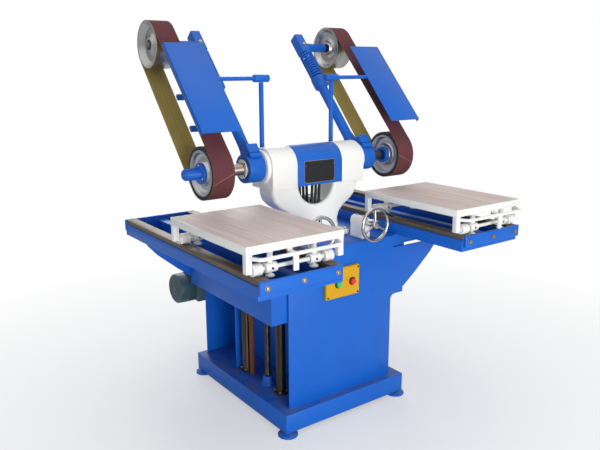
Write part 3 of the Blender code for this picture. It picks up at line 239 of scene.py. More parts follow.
# Ground spindle steel: darker and warmer, with a film of oil.
SPINDLE_STEEL = turned_metal("ground_spindle_steel", "9A938C", "6E665E", 0.28, SPINDLE, OFF_X)
print("turned metals about", SPINDLE[:], IDLER_AXIS[:])

# %% [markdown]
# ## Plain metals, rubber and plastic
# Bar stock keeps a brown skin from the mill, streaked along its length where the rollers run.
# Columns are oiled and nearly black. Bolts are zinc plated, the tyre is moulded black rubber, and
# the push buttons are moulded plastic with a clean gloss.

# %% Streaked bars and small finishes
def streaked(name, colour, shade, rough, metal, stretch, grain):
    """Stock streaked one way: the noise is squeezed along the other two directions."""
    made, tree, shader = start_material(name, colour, rough, metal)
    where = add(tree, "TexCoord").outputs["Object"]
    drawn = add(tree, "Mapping", {"Vector": where, "Scale": stretch})
    lines = add(tree, "TexNoise", {"Vector": drawn.outputs[0], "Scale": per_mm(grain),
                                   "Detail": 6.0, "Roughness": 0.65})
    ramp = add(tree, "ValToRGB", {0: lines.outputs[0]}, stops=((0.30, 0.0), (0.72, 1.0)))
    tone = add(tree, "Mix", {0: ramp.outputs[0], 6: srgb(colour), 7: srgb(shade)},
               data_type="RGBA")
    tree.links.new(tone.outputs[2], shader.inputs["Base Color"])
    bump = add(tree, "Bump", {"Height": lines.outputs[0], "Strength": 0.3, "Distance": 0.0003})
    tree.links.new(bump.outputs[0], shader.inputs["Normal"])
    return made


# Mill-scale flat bar: brown, with paler worn lines along the run.
RAIL_STEEL = streaked("mill_scale_bar", "51463B", "84776A", 0.50, 0.55, (1.0, 0.03, 1.0), 9)
# Oiled round column: near black brown, streaked downwards.
COLUMN_STEEL = streaked("oiled_column_steel", "2E2822", "5A4E40", 0.36, 0.7, (1.0, 1.0, 0.04), 14)
# Screw steel with grease in the thread.
SCREW_STEEL = streaked("greased_screw_steel", "6A665E", "3C3830", 0.35, 0.9, (1.0, 1.0, 0.3), 8)
# Zinc plate on bolts and washers: pale, slightly yellow.
ZINC = streaked("zinc_plated_steel", "B9B39F", "8F8873", 0.38, 1.0, (1.0, 1.0, 1.0), 4)
# Polished steel of the handwheel rims.
BRIGHT = streaked("polished_rim_steel", "C9C8C6", "9A9896", 0.20, 1.0, (1.0, 1.0, 1.0), 20)
# Moulded tyre rubber: matt black with a grey bloom.
RUBBER = streaked("moulded_tyre_rubber", "1B1E1E", "2C302F", 0.72, 0.0, (1.0, 1.0, 1.0), 12)
# Black oxide on socket screws, bearing seals and the name plate's face. The same black is painted shade
# in the cover rings' slots and in the motor's vents.
BLACK = streaked("black_oxide_steel", "17181A", "2A2B2E", 0.42, 0.3, (1.0, 1.0, 1.0), 15)
# Moulded push-button plastic: one clean colour with an even gloss.
GREEN_CAP = start_material("green_moulded_plastic", "2CC070", 0.28)[0]
RED_CAP = start_material("red_moulded_plastic", "E22C1C", 0.28)[0]
print("small finishes ready:", RAIL_STEEL.name, COLUMN_STEEL.name, ZINC.name)

# %% [markdown]
# ## Belt and board
# An abrasive belt is cotton cloth with grain glued on its outer face. The grain face is brown with
# faint lines where work has rubbed, and the lines always run along the belt, so they change only
# across its width. The cloth face is olive yellow with the same lines from the wheels. The table
# boards are plywood, worn pale, with the grain along the table.

# %% Abrasive, cloth and plywood
SEAM_SLOPE = 0.45
SEAM_HEIGHT = SPINDLE.z - 0.015


def belt_face(name, colour, shade, line, grit, rough, seam=0.0):
    """A belt's face: fine speckle from the grain or weave, long lines across the width only, and
    a pale slanting seam where the strip's two ends are glued."""
    made, tree, shader = start_material(name, colour, rough)
    where = add(tree, "TexCoord").outputs["Object"]
    across = add(tree, "SeparateXYZ", {0: where}).outputs[0]
    lines = add(tree, "TexNoise", {"W": across, "Scale": per_mm(line), "Detail": 4.0},
                noise_dimensions="1D")
    speck = add(tree, "TexNoise", {"Vector": where, "Scale": per_mm(grit), "Detail": 2.0})
    cloud = add(tree, "TexNoise", {"Vector": where, "Scale": per_mm(70), "Detail": 3.0})
    part = add(tree, "Mix", {0: 0.45, 2: lines.outputs[0], 3: speck.outputs[0]})
    part = add(tree, "Mix", {0: 0.30, 2: part.outputs[0], 3: cloud.outputs[0]})
    ramp = add(tree, "ValToRGB", {0: part.outputs[0]}, stops=((0.32, 0.0), (0.68, 1.0)))
    tone = add(tree, "Mix", {0: ramp.outputs[0], 6: srgb(colour), 7: srgb(shade)},
               data_type="RGBA")
    aside = add(tree, "Math", {0: across}, operation="ABSOLUTE").outputs[0]
    slant = add(tree, "Math", {0: aside, 1: SEAM_SLOPE, 2: -SEAM_SLOPE * HEAD_X - SEAM_HEIGHT},
                operation="MULTIPLY_ADD").outputs[0]
    height = add(tree, "SeparateXYZ", {0: where}).outputs[2]
    apart = add(tree, "Math", {0: height, 1: slant}, operation="ADD").outputs[0]
    near = add(tree, "Math", {0: apart, 1: 0.0, 2: 0.0012}, operation="COMPARE").outputs[0]
    worn = add(tree, "Math", {0: near, 1: seam}, operation="MULTIPLY").outputs[0]
    tone = add(tree, "Mix", {0: worn, 6: tone.outputs[2], 7: srgb("A8888A")}, data_type="RGBA")
    tree.links.new(tone.outputs[2], shader.inputs["Base Color"])
    bump = add(tree, "Bump", {"Height": speck.outputs[0], "Strength": 0.6, "Distance": 0.0006})
    tree.links.new(bump.outputs[0], shader.inputs["Normal"])
    return made


# Grit is a quarter of a millimetre; it is drawn at two so that it shows as a faint tooth.
ABRASIVE = belt_face("brown_abrasive_grain", "57272B", "6A373B", 7, 2, 0.85, seam=0.5)
# Threads are half a millimetre; they are drawn at two as well.
CLOTH = belt_face("olive_cotton_backing", "A8924E", "8C7A3C", 9, 2, 0.90)
# Worn plywood face: pale, with soft grain along the table.
PLYWOOD = streaked("worn_plywood", "EBD6CC", "CDBBB0", 0.62, 0.0, (1.0, 0.06, 1.0), 22)
# The same board's edge: brown veneers in thin level lines.
EDGE_PLY = streaked("plywood_edge", "9A7A5E", "6E5238", 0.75, 0.0, (0.05, 0.05, 1.0), 2)
print("belt and board finishes:", ABRASIVE.name, CLOTH.name, PLYWOOD.name)

# %% [markdown]
# ## Tools for the hand
# Everything below is made the way it would be at the keyboard: add a primitive, enter edit mode,
# extrude or spin it, and apply a modifier. An operator works on whatever is selected, so each tool
# clears the selection first. A bevel on every piece matters most, because real edges are never
# perfectly sharp and a rounded edge catches a line of light.

# %% Selecting
def start_clean():
    """Object mode, nothing selected."""
    if bpy.context.object and bpy.context.object.mode != "OBJECT":
        bpy.ops.object.mode_set(mode="OBJECT")
    bpy.ops.object.select_all(action="DESELECT")


def grab(*pieces):
    """Selects these pieces and makes the first one active."""
    start_clean()
    for piece in pieces:
        piece.select_set(True)
    bpy.context.view_layer.objects.active = pieces[0]


print("selection tools ready")

# %% Finishing
def finish(piece, name, paint, bevel=0.0, segments=2, angle=30.0, smooth=32.0):
    """Applies place and bevel, shades by angle, and gives the piece its name and paint."""
    grab(piece)
    bpy.ops.object.transform_apply(location=True, rotation=True, scale=True)
    bpy.ops.object.mode_set(mode="EDIT")
    bpy.ops.mesh.select_all(action="SELECT")
    bpy.ops.mesh.remove_doubles(threshold=1e-6)
    bpy.ops.mesh.normals_make_consistent(inside=False)
    bpy.ops.object.mode_set(mode="OBJECT")
    if bevel:
        edge = piece.modifiers.new("edge", "BEVEL")
        edge.width = bevel
        edge.segments = segments
        edge.limit_method = "ANGLE"
        edge.angle_limit = math.radians(angle)
        bpy.ops.object.modifier_apply(modifier=edge.name)
    bpy.ops.object.shade_smooth_by_angle(angle=math.radians(smooth))
    piece.name = name
    piece.data.name = name
    if paint is not None:
        piece.data.materials.clear()
        piece.data.materials.append(paint)
    return piece


print("finishing rounds edges and closes meshes")

# %% Placing, joining and copying
def place(piece, body, *stands_for, slot=None):
    """The piece rides on a body and may stand for CAD nodes. Its slot is not used."""
    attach(piece, body)
    if stands_for:
        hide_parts(*stands_for)
    return piece


def join(name, *pieces):
    """One piece from several that are fixed together."""
    grab(*pieces)
    bpy.ops.object.join()
    pieces[0].name = name
    pieces[0].data.name = name
    return pieces[0]


def copy(piece, name, move=(0, 0, 0), mirror=False):
    """A copy with its own mesh, moved, or mirrored across the machine's middle."""
    grab(piece)
    bpy.ops.object.duplicate(linked=False)
    twin = bpy.context.object
    twin.location = move
    if mirror:
        twin.scale = (-1, 1, 1)
    bpy.ops.object.transform_apply(location=True, rotation=True, scale=True)
    if mirror:
        bpy.ops.object.mode_set(mode="EDIT")
        bpy.ops.mesh.select_all(action="SELECT")
        bpy.ops.mesh.normals_make_consistent(inside=False)
        bpy.ops.object.mode_set(mode="OBJECT")
        bpy.ops.object.shade_smooth_by_angle(angle=math.radians(32))
    twin.name = name
    twin.data.name = name
    return twin


def place_pair(piece, body, node, slot):
    """Places a right-hand piece, and its mirror copy on the left. Names that say right say left."""
    twin, twin_body, twin_node = [text.replace("right", "left") for text in (piece.name, body, node)]
    place(copy(piece, twin, mirror=True), twin_body, twin_node, slot=slot)
    place(piece, body, node, slot=slot)


print("hand tools ready")

# %% Drawing and turning
def draw(spots, closed=False):
    """Draws a line of points in a new mesh, extruding one vertex after another."""
    start_clean()
    bpy.ops.mesh.primitive_plane_add(size=0.001, location=spots[0])
    bpy.ops.object.transform_apply(location=True)
    bpy.ops.object.mode_set(mode="EDIT")
    bpy.ops.mesh.select_mode(type="VERT")
    bpy.ops.mesh.merge(type="CENTER")
    for one, two in zip(spots, spots[1:]):
        bpy.ops.mesh.extrude_region_move(TRANSFORM_OT_translate={"value": Vector(two) - Vector(one)})
    bpy.ops.mesh.select_all(action="SELECT")
    if closed:
        bpy.ops.mesh.edge_face_add()
    return bpy.context.object


def turned(name, profile, centre, axis, paint, bevel=0.0015, ring=False, steps=72, smooth=32.0):
    """Spins a profile of (along, radius) about an axis through centre. A ring closes on itself."""
    along = Vector(axis).normalized()
    out = Vector(UP) if abs(along.z) < 0.9 else Vector(BACK)
    spots = [Vector(centre) + along * a + out * r for a, r in profile]
    made = draw(spots + spots[:1] if ring else spots)
    bpy.ops.mesh.spin(steps=steps, angle=2 * math.pi, center=centre, axis=along)
    bpy.ops.mesh.select_all(action="SELECT")
    bpy.ops.mesh.remove_doubles(threshold=1e-5)
    return finish(made, name, paint, bevel, 2, 25, smooth)


print("a turned piece is a drawn profile, spun")

# %% Plates, blocks and round bars
def plate(name, outline, axis, low, high, paint, bevel=0.001, segments=2):
    """Draws an upright outline and extrudes it from low to high along X or Y."""
    spots = [(low, u, v) if axis == "X" else (u, low, v) for u, v in outline]
    push = Vector(RIGHT if axis == "X" else BACK) * (high - low)
    made = draw(spots, closed=True)
    bpy.ops.mesh.extrude_region_move(TRANSFORM_OT_translate={"value": push})
    return finish(made, name, paint, bevel, segments)


def block(name, low, high, paint, bevel=0.001, segments=2):
    """A cube placed between two corners, with its edges eased."""
    start_clean()
    low, high = Vector(low), Vector(high)
    bpy.ops.mesh.primitive_cube_add(size=1, location=(low + high) / 2)
    made = bpy.context.object
    made.scale = [abs(d) for d in high - low]
    return finish(made, name, paint, bevel, segments)


def bar(name, start, end, radius, paint, bevel=0.0008):
    """Round bar between two points, its ends eased."""
    start_clean()
    line = Vector(end) - Vector(start)
    bpy.ops.mesh.primitive_cylinder_add(vertices=32, radius=radius, depth=line.length,
                                        location=(Vector(start) + Vector(end)) / 2)
    made = bpy.context.object
    made.rotation_euler = line.to_track_quat("Z", "Y").to_euler()
    return finish(made, name, paint, bevel, 2)


print("plates, blocks and bars ready")

# %% Bent bars
def bent(name, spots, radius, paint, fold=0.015):
    """A bent round bar: a drawn line with rounded corners, given its thickness as a curve."""
    spots = [Vector(spot) for spot in spots]
    line = [spots[0]]
    for before, corner, after in zip(spots, spots[1:], spots[2:]):
        near = corner + (before - corner).normalized() * fold
        far = corner + (after - corner).normalized() * fold
        for k in range(7):
            t = k / 6
            line.append(near * (1 - t) ** 2 + corner * 2 * t * (1 - t) + far * t ** 2)
    made = draw(line + [spots[-1]])
    grab(made)
    bpy.ops.object.convert(target="CURVE")
    made = bpy.context.object
    made.data.bevel_depth = radius
    made.data.bevel_resolution = 5
    made.data.use_fill_caps = True
    bpy.ops.object.convert(target="MESH")
    return finish(bpy.context.object, name, paint)


print("bent bars ready")

# %% A part's own shape, a cut and a lean
def eased_copy(node, name, paint, bevel):
    """A CAD part's own shape, merged back to flat faces, with its sharp edges eased."""
    grab(frame["nodes"][node])
    bpy.ops.object.duplicate(linked=False)
    made = bpy.context.object
    made.parent = None
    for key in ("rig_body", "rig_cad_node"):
        if key in made:
            del made[key]
    bpy.ops.object.mode_set(mode="EDIT")
    bpy.ops.mesh.select_all(action="SELECT")
    bpy.ops.mesh.remove_doubles(threshold=1e-5)
    bpy.ops.mesh.dissolve_limited(angle_limit=math.radians(1))
    return finish(made, name, paint, bevel)


def carve(piece, cutter):
    """Cuts one closed shape out of another and throws the cutter away."""
    grab(piece)
    cut = piece.modifiers.new("cut", "BOOLEAN")
    cut.operation = "DIFFERENCE"
    cut.object = cutter
    bpy.ops.object.modifier_apply(modifier=cut.name)
    bpy.data.objects.remove(cutter)
    return piece


def lean(piece):
    """Tips a piece drawn upright about the origin to the arms' lean and lifts it to the spindle."""
    piece.rotation_euler = (-LEAN, 0, 0)
    piece.location = SPINDLE
    grab(piece)
    bpy.ops.object.transform_apply(location=True, rotation=True, scale=True)
    return piece


print("shaping tools ready")

# %% [markdown]
# ## One bolt, many places
# The machine is held together by hexagon bolts with washers. A bolt head is a six-sided cylinder
# whose top edge is chamfered, on a round washer. It is modelled once, pointing up, and every other
# bolt is a copy turned to its face. A socket screw, used on the control box, is a round head with
# a six-sided hole pressed in.

# %% Hexagon bolt
def hexagon_bolt(size):
    """Head and washer for a bolt of this thread, standing on z = 0 at the origin."""
    washer = turned("washer", [(0, 0), (0, size * 1.05), (size * 0.2, size * 1.05), (size * 0.2, 0)],
                    (0, 0, 0), UP, ZINC, size * 0.05, steps=28)
    start_clean()
    bpy.ops.mesh.primitive_cylinder_add(vertices=6, radius=size * 0.92, depth=size * 0.62,
                                        location=(0, 0, size * 0.51))
    head = finish(bpy.context.object, "head", ZINC, size * 0.09, 2)
    return join("bolt_pattern", head, washer)


BOLT = hexagon_bolt(0.010)
SMALL_BOLT = hexagon_bolt(0.006)
print("bolt pattern:", len(BOLT.data.polygons), "faces")

# %% Socket screw
def socket_screw(size):
    """Round screw head with a six-sided socket, standing on z = 0 at the origin."""
    start_clean()
    bpy.ops.mesh.primitive_cylinder_add(vertices=24, radius=size, depth=size * 0.8,
                                        location=(0, 0, size * 0.4))
    head = bpy.context.object
    bpy.ops.object.transform_apply(location=True)
    bpy.ops.object.mode_set(mode="EDIT")
    bpy.ops.mesh.select_all(action="DESELECT")
    bpy.ops.object.mode_set(mode="OBJECT")
    for face in head.data.polygons:
        face.select = face.normal.z > 0.9
    bpy.ops.object.mode_set(mode="EDIT")
    bpy.ops.mesh.inset(thickness=size * 0.45)
    bpy.ops.mesh.extrude_region_move(TRANSFORM_OT_translate={"value": (0, 0, -size * 0.5)})
    return finish(head, "screw_pattern", BLACK, size * 0.08, 1)


SCREW = socket_screw(0.0042)
print("screw pattern:", len(SCREW.data.polygons), "faces")

# %% A row of bolts
def bolted(name, pattern, spots, facing):
    """Copies of a bolt at these spots, its head turned to face this way, as one piece."""
    turn = Vector(facing).to_track_quat("Z", "Y").to_euler()
    heads = []
    for spot in spots:
        one = copy(pattern, name)
        one.rotation_euler = turn
        one.location = spot
        grab(one)
        bpy.ops.object.transform_apply(location=True, rotation=True)
        heads.append(one)
    return join(name, *heads) if len(heads) > 1 else heads[0]


print("bolts can face any way")

# %% [markdown]
# ## Camera, floor and light
# The machine is seen from its left front corner, from a standing person's eye, with a normal lens.
# The floor is plain and pale. The pure white behind it is there for the camera only. A reflection
# sees a room that darkens towards the floor instead, so that metal has something to show. One large
# soft lamp stands low in front and does most of the work, a weak one hangs above, one behind on the
# right draws the far edges, and a dim even world lifts the shadows, so that each colour looks about
# as it is written.

# %% Camera
scene = bpy.context.scene
scene.view_settings.view_transform = "Standard"
camera_data = bpy.data.cameras.new("view")
camera_data.sensor_width = 36.0
camera_data.lens = 39.348
camera = bpy.data.objects.new("view", camera_data)
camera.location = (-1.7955, SPINDLE.y - 2.3847, 1.5565)
camera.rotation_euler = (math.radians(90 - 13.423), math.radians(0.189), math.radians(-36.19))
scene.collection.objects.link(camera)
scene.camera = camera
print("camera lens", round(camera_data.lens, 2), "mm")

# %% Floor and white surroundings
start_clean()
bpy.ops.mesh.primitive_plane_add(size=14, location=(0, 0, 0))
floor = bpy.context.object
floor.name = "studio_floor"
floor_paint, tree, shader = start_material("matt_studio_floor", "F2F2F2", 0.95)
shader.inputs["Specular IOR Level"].default_value = 0.1
away = add(tree, "VectorMath", {0: add(tree, "TexCoord").outputs["Object"]}, operation="LENGTH")
reach = add(tree, "MapRange", {0: away.outputs["Value"], 1: 0.7, 2: 2.6, 3: 0.45, 4: 1.0})
path = add(tree, "LightPath")
share = add(tree, "Math", {0: reach.outputs[0], 1: path.outputs["Is Camera Ray"]},
            operation="MULTIPLY")
glow = add(tree, "Emission", {"Color": (1, 1, 1, 1), "Strength": 1.0})
pale = add(tree, "MixShader", {0: share.outputs[0], 1: shader.outputs[0], 2: glow.outputs[0]})
tree.links.new(pale.outputs[0], tree.nodes["Material Output"].inputs["Surface"])
floor.data.materials.append(floor_paint)

world = bpy.data.worlds.new("studio")
world.use_nodes = True
scene.world = world
tree = world.node_tree
tree.nodes.clear()
path = add(tree, "LightPath")
white = add(tree, "Background", {"Color": (1, 1, 1, 1), "Strength": 1.0})
height = add(tree, "SeparateXYZ", {0: add(tree, "TexCoord").outputs["Generated"]}).outputs[2]
wall = add(tree, "MapRange", {0: height, 1: -0.15, 2: 0.50, 3: 0.25, 4: 1.0})
room = add(tree, "Background", {"Color": (1, 1, 1, 1), "Strength": wall.outputs[0]})
soft = add(tree, "Background", {"Color": (0.92, 0.95, 1.0, 1), "Strength": 0.52})
lit = add(tree, "MixShader", {0: path.outputs["Is Glossy Ray"], 1: soft.outputs[0],
                              2: room.outputs[0]})
mixed = add(tree, "MixShader", {0: path.outputs["Is Camera Ray"], 1: lit.outputs[0],
                                2: white.outputs[0]})
add(tree, "OutputWorld", {"Surface": mixed.outputs[0]})
print("floor and world ready")

# %% Lamps
def lamp(name, spot, aim, size, power):
    """A square soft lamp at a spot, aimed at a point, with its power in watts."""
    data = bpy.data.lights.new(name, "AREA")
    data.shape = "SQUARE"
    data.size = size
    data.energy = power
    made = bpy.data.objects.new(name, data)
    made.location = spot
    made.rotation_euler = (Vector(aim) - Vector(spot)).to_track_quat("-Z", "Y").to_euler()
    scene.collection.objects.link(made)


lamp("key", (-0.9, -4.4, 0.7), (0, 0, 1.0), 2.6, 158)
lamp("top", (0.3, -0.4, 4.4), (0, 0, 0.9), 2.6, 18)
lamp("back", (1.5, 3.6, 2.6), (0, 0, 1.0), 2.0, 55)
print("three lamps")

# %% [markdown]
# ## Base and cabinet
# The base is a welded channel frame with a plate deck, standing on four levelling feet. The cabinet
# on it is cut from sheet: the front sheet is straight on the left and flares out on the right under
# the table, and the back sheet flares both ways. These parts have the right outline already, so each
# keeps its own shape, merged back to flat faces, and only its edges are eased. A line of weld is
# added where a sheet meets the deck.

# %% Deck, feet and sheets
plinth_low, plinth_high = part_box("base_plinth")
panel_low, panel_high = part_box("front_panel")
back_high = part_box("back_panel")[1]
plinth = eased_copy("base_plinth", "base_plinth_body", DUSTY_BLUE, 0.0015)
place(plinth, "machine_frame", "base_plinth", slot="blue_paint")

SHEETS = {"front_panel": 0.0012, "back_panel": 0.0012, "cabinet_web": 0.001,
          "cabinet_top": 0.002, "side_panel_right": 0.001}
for node, ease in SHEETS.items():
    place(eased_copy(node, node + "_sheet", BLUE, ease), "machine_frame", node, slot="blue_paint")


deck = panel_low.z
WELD_RADIUS = 0.0028
for name, y, end_x in (("front_weld", panel_low.y - 0.001, 0.290),
                       ("back_weld", back_high.y + 0.001, -panel_low.x - 0.002)):
    bead = bent(name, [(panel_low.x + 0.002, y, deck), (end_x, y, deck)], WELD_RADIUS, BLUE, fold=0)
    place(bead, "machine_frame")
print("sheets on the deck at", round(deck, 4))

# %% [markdown]
# ## Columns, screw and conduit
# Each table frame climbs two oiled columns, driven by a screw between them. The columns are round
# bars in flanged sockets, turned on a lathe here from a profile. A thread is a ridge wound round the
# screw, made from one tooth drawn beside the axis and carried up by the Screw modifier. Beside the
# left rear column stand a flat stay and a conduit left in red primer. Both reach up to a lift that
# rises and sinks, so each is made in two halves that slide past one another.

# %% Columns and their sockets
bolt_circle = [(math.cos(math.radians(a)), math.sin(math.radians(a))) for a in (45, 135, 225, 315)]
for sign, side in SIDES:
    for end in ("front", "rear"):
        low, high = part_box("column_%s_%s" % (side, end))
        centre = ((low.x + high.x) / 2, (low.y + high.y) / 2, low.z)
        tall = high.z - low.z
        column = turned("column", [(0, 0), (0, 0.0338), (0.010, 0.0338), (0.010, 0.022),
                                   (tall - 0.002, 0.022), (tall, 0.020), (tall, 0)],
                        centre, UP, COLUMN_STEEL, 0.0008)
        heads = bolted("column_bolts", SMALL_BOLT,
                       [(centre[0] + 0.0285 * u, centre[1] + 0.0285 * v, low.z + 0.0095)
                        for u, v in bolt_circle], UP)
        join("column_%s_%s_turned" % (side, end), column, heads)
        place(column, "machine_frame", "column_%s_%s" % (side, end), slot="oiled_column_steel")
print("column height", round(tall, 3))

# %% Lead screws with a wound thread
def wound(name, outline, centre, rise, turns, steps, paint):
    """Carries a closed outline round the Z axis and up, as a thread or a coil."""
    made = draw([Vector((u, 0, v)) for u, v in outline], closed=True)
    bpy.ops.object.mode_set(mode="OBJECT")
    coil = made.modifiers.new("coil", "SCREW")
    coil.angle = 2 * math.pi
    coil.screw_offset = rise
    coil.iterations = turns
    coil.steps = steps
    coil.render_steps = steps
    coil.use_merge_vertices = False
    coil.use_normal_calculate = False
    bpy.ops.object.modifier_apply(modifier=coil.name)
    made.location = centre
    return finish(made, name, paint)


for sign, side in SIDES:
    low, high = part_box("lead_screw_" + side)
    centre = Vector(((low.x + high.x) / 2, (low.y + high.y) / 2, low.z))
    tall = high.z - low.z
    core = 0.0118
    stem = turned("stem", [(0, 0), (0, 0.0105), (0.0293, 0.0105), (0.0293, 0.0188), (0.0405, 0.0188),
                           (0.0405, core), (tall - 0.002, core), (tall, core - 0.002), (tall, 0)],
                  centre, UP, SCREW_STEEL, 0.0005, steps=40)
    pitch = 0.006
    thread = wound("thread", [(core - 0.001, 0.0), (0.0139, 0.0012), (0.0139, 0.0028),
                              (core - 0.001, 0.0040)], centre + Vector((0, 0, 0.044)), pitch,
                   int((tall - 0.052) / pitch), 24, SCREW_STEEL)
    place(join("lead_screw_%s_threaded" % side, stem, thread), "lead_screw_" + side,
          "lead_screw_" + side, slot="turned_steel")
print("thread pitch", pitch, "on a core of", core)

# %% Stay and conduit beside the left rear column
rear_low, rear_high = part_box("column_left_rear")
conduit_x = (rear_low.x + rear_high.x) / 2 - 0.004
knee_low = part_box("knee_left")[0]
fixed_top = knee_low.z - 0.055      # stays below the knee when it sinks
slide_low = knee_low.z - 0.110      # still covers the fixed half when the knee is at its top
conduit_y = rear_low.y - 0.022
conduit = bar("red_conduit", (conduit_x, conduit_y, deck), (conduit_x, conduit_y, fixed_top), 0.0125,
              PRIMER)
place(conduit, "machine_frame", slot="blue_paint")
sleeve = turned("red_conduit_sleeve", [(slide_low, 0.0130), (slide_low, 0.0148),
                                       (knee_low.z - GAP, 0.0148), (knee_low.z - GAP, 0.0130)],
                (conduit_x, conduit_y, 0), UP, PRIMER, 0.0005, ring=True, steps=32)
place(sleeve, "lift_left", slot="blue_paint")
stay = block("blue_stay", (conduit_x - 0.030, rear_high.y + 0.010, deck),
             (conduit_x - 0.006, rear_high.y + 0.016, fixed_top), BLUE, 0.001)
place(stay, "machine_frame", slot="blue_paint")
slider = block("blue_stay_slider", (conduit_x - 0.030, rear_high.y + 0.0035, slide_low),
               (conduit_x - 0.006, rear_high.y + 0.0095, knee_low.z - GAP), BLUE, 0.001)
place(slider, "lift_left", slot="blue_paint")
print("conduit at", round(conduit_x, 3))

# %% [markdown]
# ## The neck casting
# The neck is one cream-painted iron casting: a foot, a fork with a round gap, and two bearing
# housings. Castings have no sharp inside corners, because sand crumbles and hot iron cracks there.
# Rounding every corner by hand would be slow, so fork and foot are drawn, joined, remeshed into an
# even skin of small squares and smoothed, which melts each corner into a fillet. The duct for the
# drive belts is then cut out, and the machined bearing noses are turned separately and stay crisp.

# %% A cast skin by remeshing
def cast_skin(piece, name, paint, voxel, rounds):
    """Even skin by voxel remesh, corners melted by smoothing."""
    grab(piece)
    skin = piece.modifiers.new("skin", "REMESH")
    skin.mode = "VOXEL"
    skin.voxel_size = voxel
    bpy.ops.object.modifier_apply(modifier=skin.name)
    melt = piece.modifiers.new("melt", "SMOOTH")
    melt.factor = 0.5
    melt.iterations = rounds
    bpy.ops.object.modifier_apply(modifier=melt.name)
    return finish(piece, name, paint, smooth=60)


print("cast skin ready")

# %% The neck's sizes
neck_low, neck_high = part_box("neck_casting")
cover_low, cover_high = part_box("pulley_cover")
HOUSING_RADIUS = (cover_high.y - cover_low.y) / 2
BORE = 0.0256           # the housings' bore round the spindle's journals
HOUSING_END = 0.257
COLLAR_END = HOUSING_END + 0.0155
NOSE_END = neck_high.x
NOSE_RADIUS = 0.043
WAIST, FORK_SIDE, FORK_HALF = 0.125, 0.243, 0.060
GAP_HALF, GAP_DEEP = 0.098, 0.094
FOOT_X, FOOT_Y, FOOT_THICK = 0.150, 0.115, 0.028
ROOT = cover_low.z - GAP
TUCK = 0.034            # how far the fork runs up into the housings
print("housings reach", HOUSING_END, "and noses", round(NOSE_END, 4))

# %% Fork, foot and duct
right = [(WAIST + across * (FORK_SIDE - WAIST), neck_low.z + up * (ROOT - neck_low.z))
         for across, up in ((0.22, 0.0), (0.10, 0.10), (0.0, 0.27), (0.08, 0.405), (0.31, 0.52),
                            (0.65, 0.623), (0.88, 0.73), (0.975, 0.846), (1.0, 1.0))]
right.append((FORK_SIDE, ROOT + TUCK))
gap = [(GAP_HALF, ROOT + TUCK)]
gap += [(GAP_HALF * math.cos(math.pi * k / 20), ROOT - GAP_DEEP * math.sin(math.pi * k / 20))
        for k in range(21)]
gap.append((-GAP_HALF, ROOT + TUCK))
fork = plate("neck_casting_body", right + gap + [(-x, z) for x, z in reversed(right)], "Y",
             SPINDLE.y - FORK_HALF, SPINDLE.y + FORK_HALF, CREAM, 0.026, 5)
foot = block("foot", (-FOOT_X, SPINDLE.y - FOOT_Y, neck_low.z),
             (FOOT_X, SPINDLE.y + FOOT_Y, neck_low.z + FOOT_THICK), CREAM, 0.008, 3)
fork = cast_skin(join("neck_casting_body", fork, foot), "neck_casting_body", CREAM, 0.004, 8)
carve(fork, block("duct", (-0.045, SPINDLE.y - 0.048, neck_low.z - 0.01),
                  (0.045, SPINDLE.y + 0.050, ROOT - 0.059), CREAM, 0.0))
foot_bolts = bolted("neck_foot_bolts", BOLT,
                    [(x, SPINDLE.y + y, neck_low.z + FOOT_THICK - 0.001)
                     for x in (0.015 - FOOT_X, FOOT_X - 0.015)
                     for y in (0.015 - FOOT_Y, FOOT_Y - 0.015)], UP)
print("neck skin:", len(fork.data.polygons), "faces")

# %% Bearing housings and noses
post_low, post_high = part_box("guard_post_right")
post_x, post_y, post_z = (post_low.x + post_high.x) / 2, (post_low.y + post_high.y) / 2, post_low.z - GAP


def dee(radius, base):
    """A straight side, a half circle over the spindle and a straight side, across the spindle."""
    spots = [(SPINDLE.y - radius, base)]
    spots += [(SPINDLE.y - radius * math.cos(math.pi * k / 48),
               SPINDLE.z + radius * math.sin(math.pi * k / 48)) for k in range(49)]
    return spots + [(SPINDLE.y + radius, base)]


def housing(sign):
    """One end of the neck: half-round housing, end collar, machined nose and post lug."""
    start, end = sorted((sign * (cover_high.x + GAP), sign * HOUSING_END))
    shell = plate("housing", dee(HOUSING_RADIUS, ROOT - 0.006), "X", start, end, CREAM, 0.004, 3)
    carve(shell, bar("bore", (start - 0.01, SPINDLE.y, SPINDLE.z), (end + 0.01, SPINDLE.y, SPINDLE.z),
                     BORE, CREAM, 0.0))
    collar = turned("collar", [(HOUSING_END - 0.010, BORE), (HOUSING_END - 0.010, 0.074),
                               (COLLAR_END, 0.074), (COLLAR_END, BORE)],
                    SPINDLE, (sign, 0, 0), CREAM, 0.003, ring=True)
    nose = turned("nose", [(COLLAR_END - 0.005, BORE), (COLLAR_END - 0.005, NOSE_RADIUS),
                           (NOSE_END, NOSE_RADIUS), (NOSE_END, BORE)],
                  SPINDLE, (sign, 0, 0), SPINDLE_STEEL, 0.0008, ring=True)
    lug = block("lug", (sign * post_x - 0.018, post_y - 0.030, post_z - 0.080),
                (sign * post_x + 0.018, post_y + 0.018, post_z), CREAM, 0.004, 3)
    return [shell, collar, nose, lug]


place(join("neck_casting_body", fork, foot_bolts, *housing(-1), *housing(1)), "machine_frame",
      "neck_casting", slot="cream_cast_paint")
print("guard post stands on its lug at", round(post_x, 3))

# %% Slotted cover rings
NOTCH_CIRCLE = 0.037


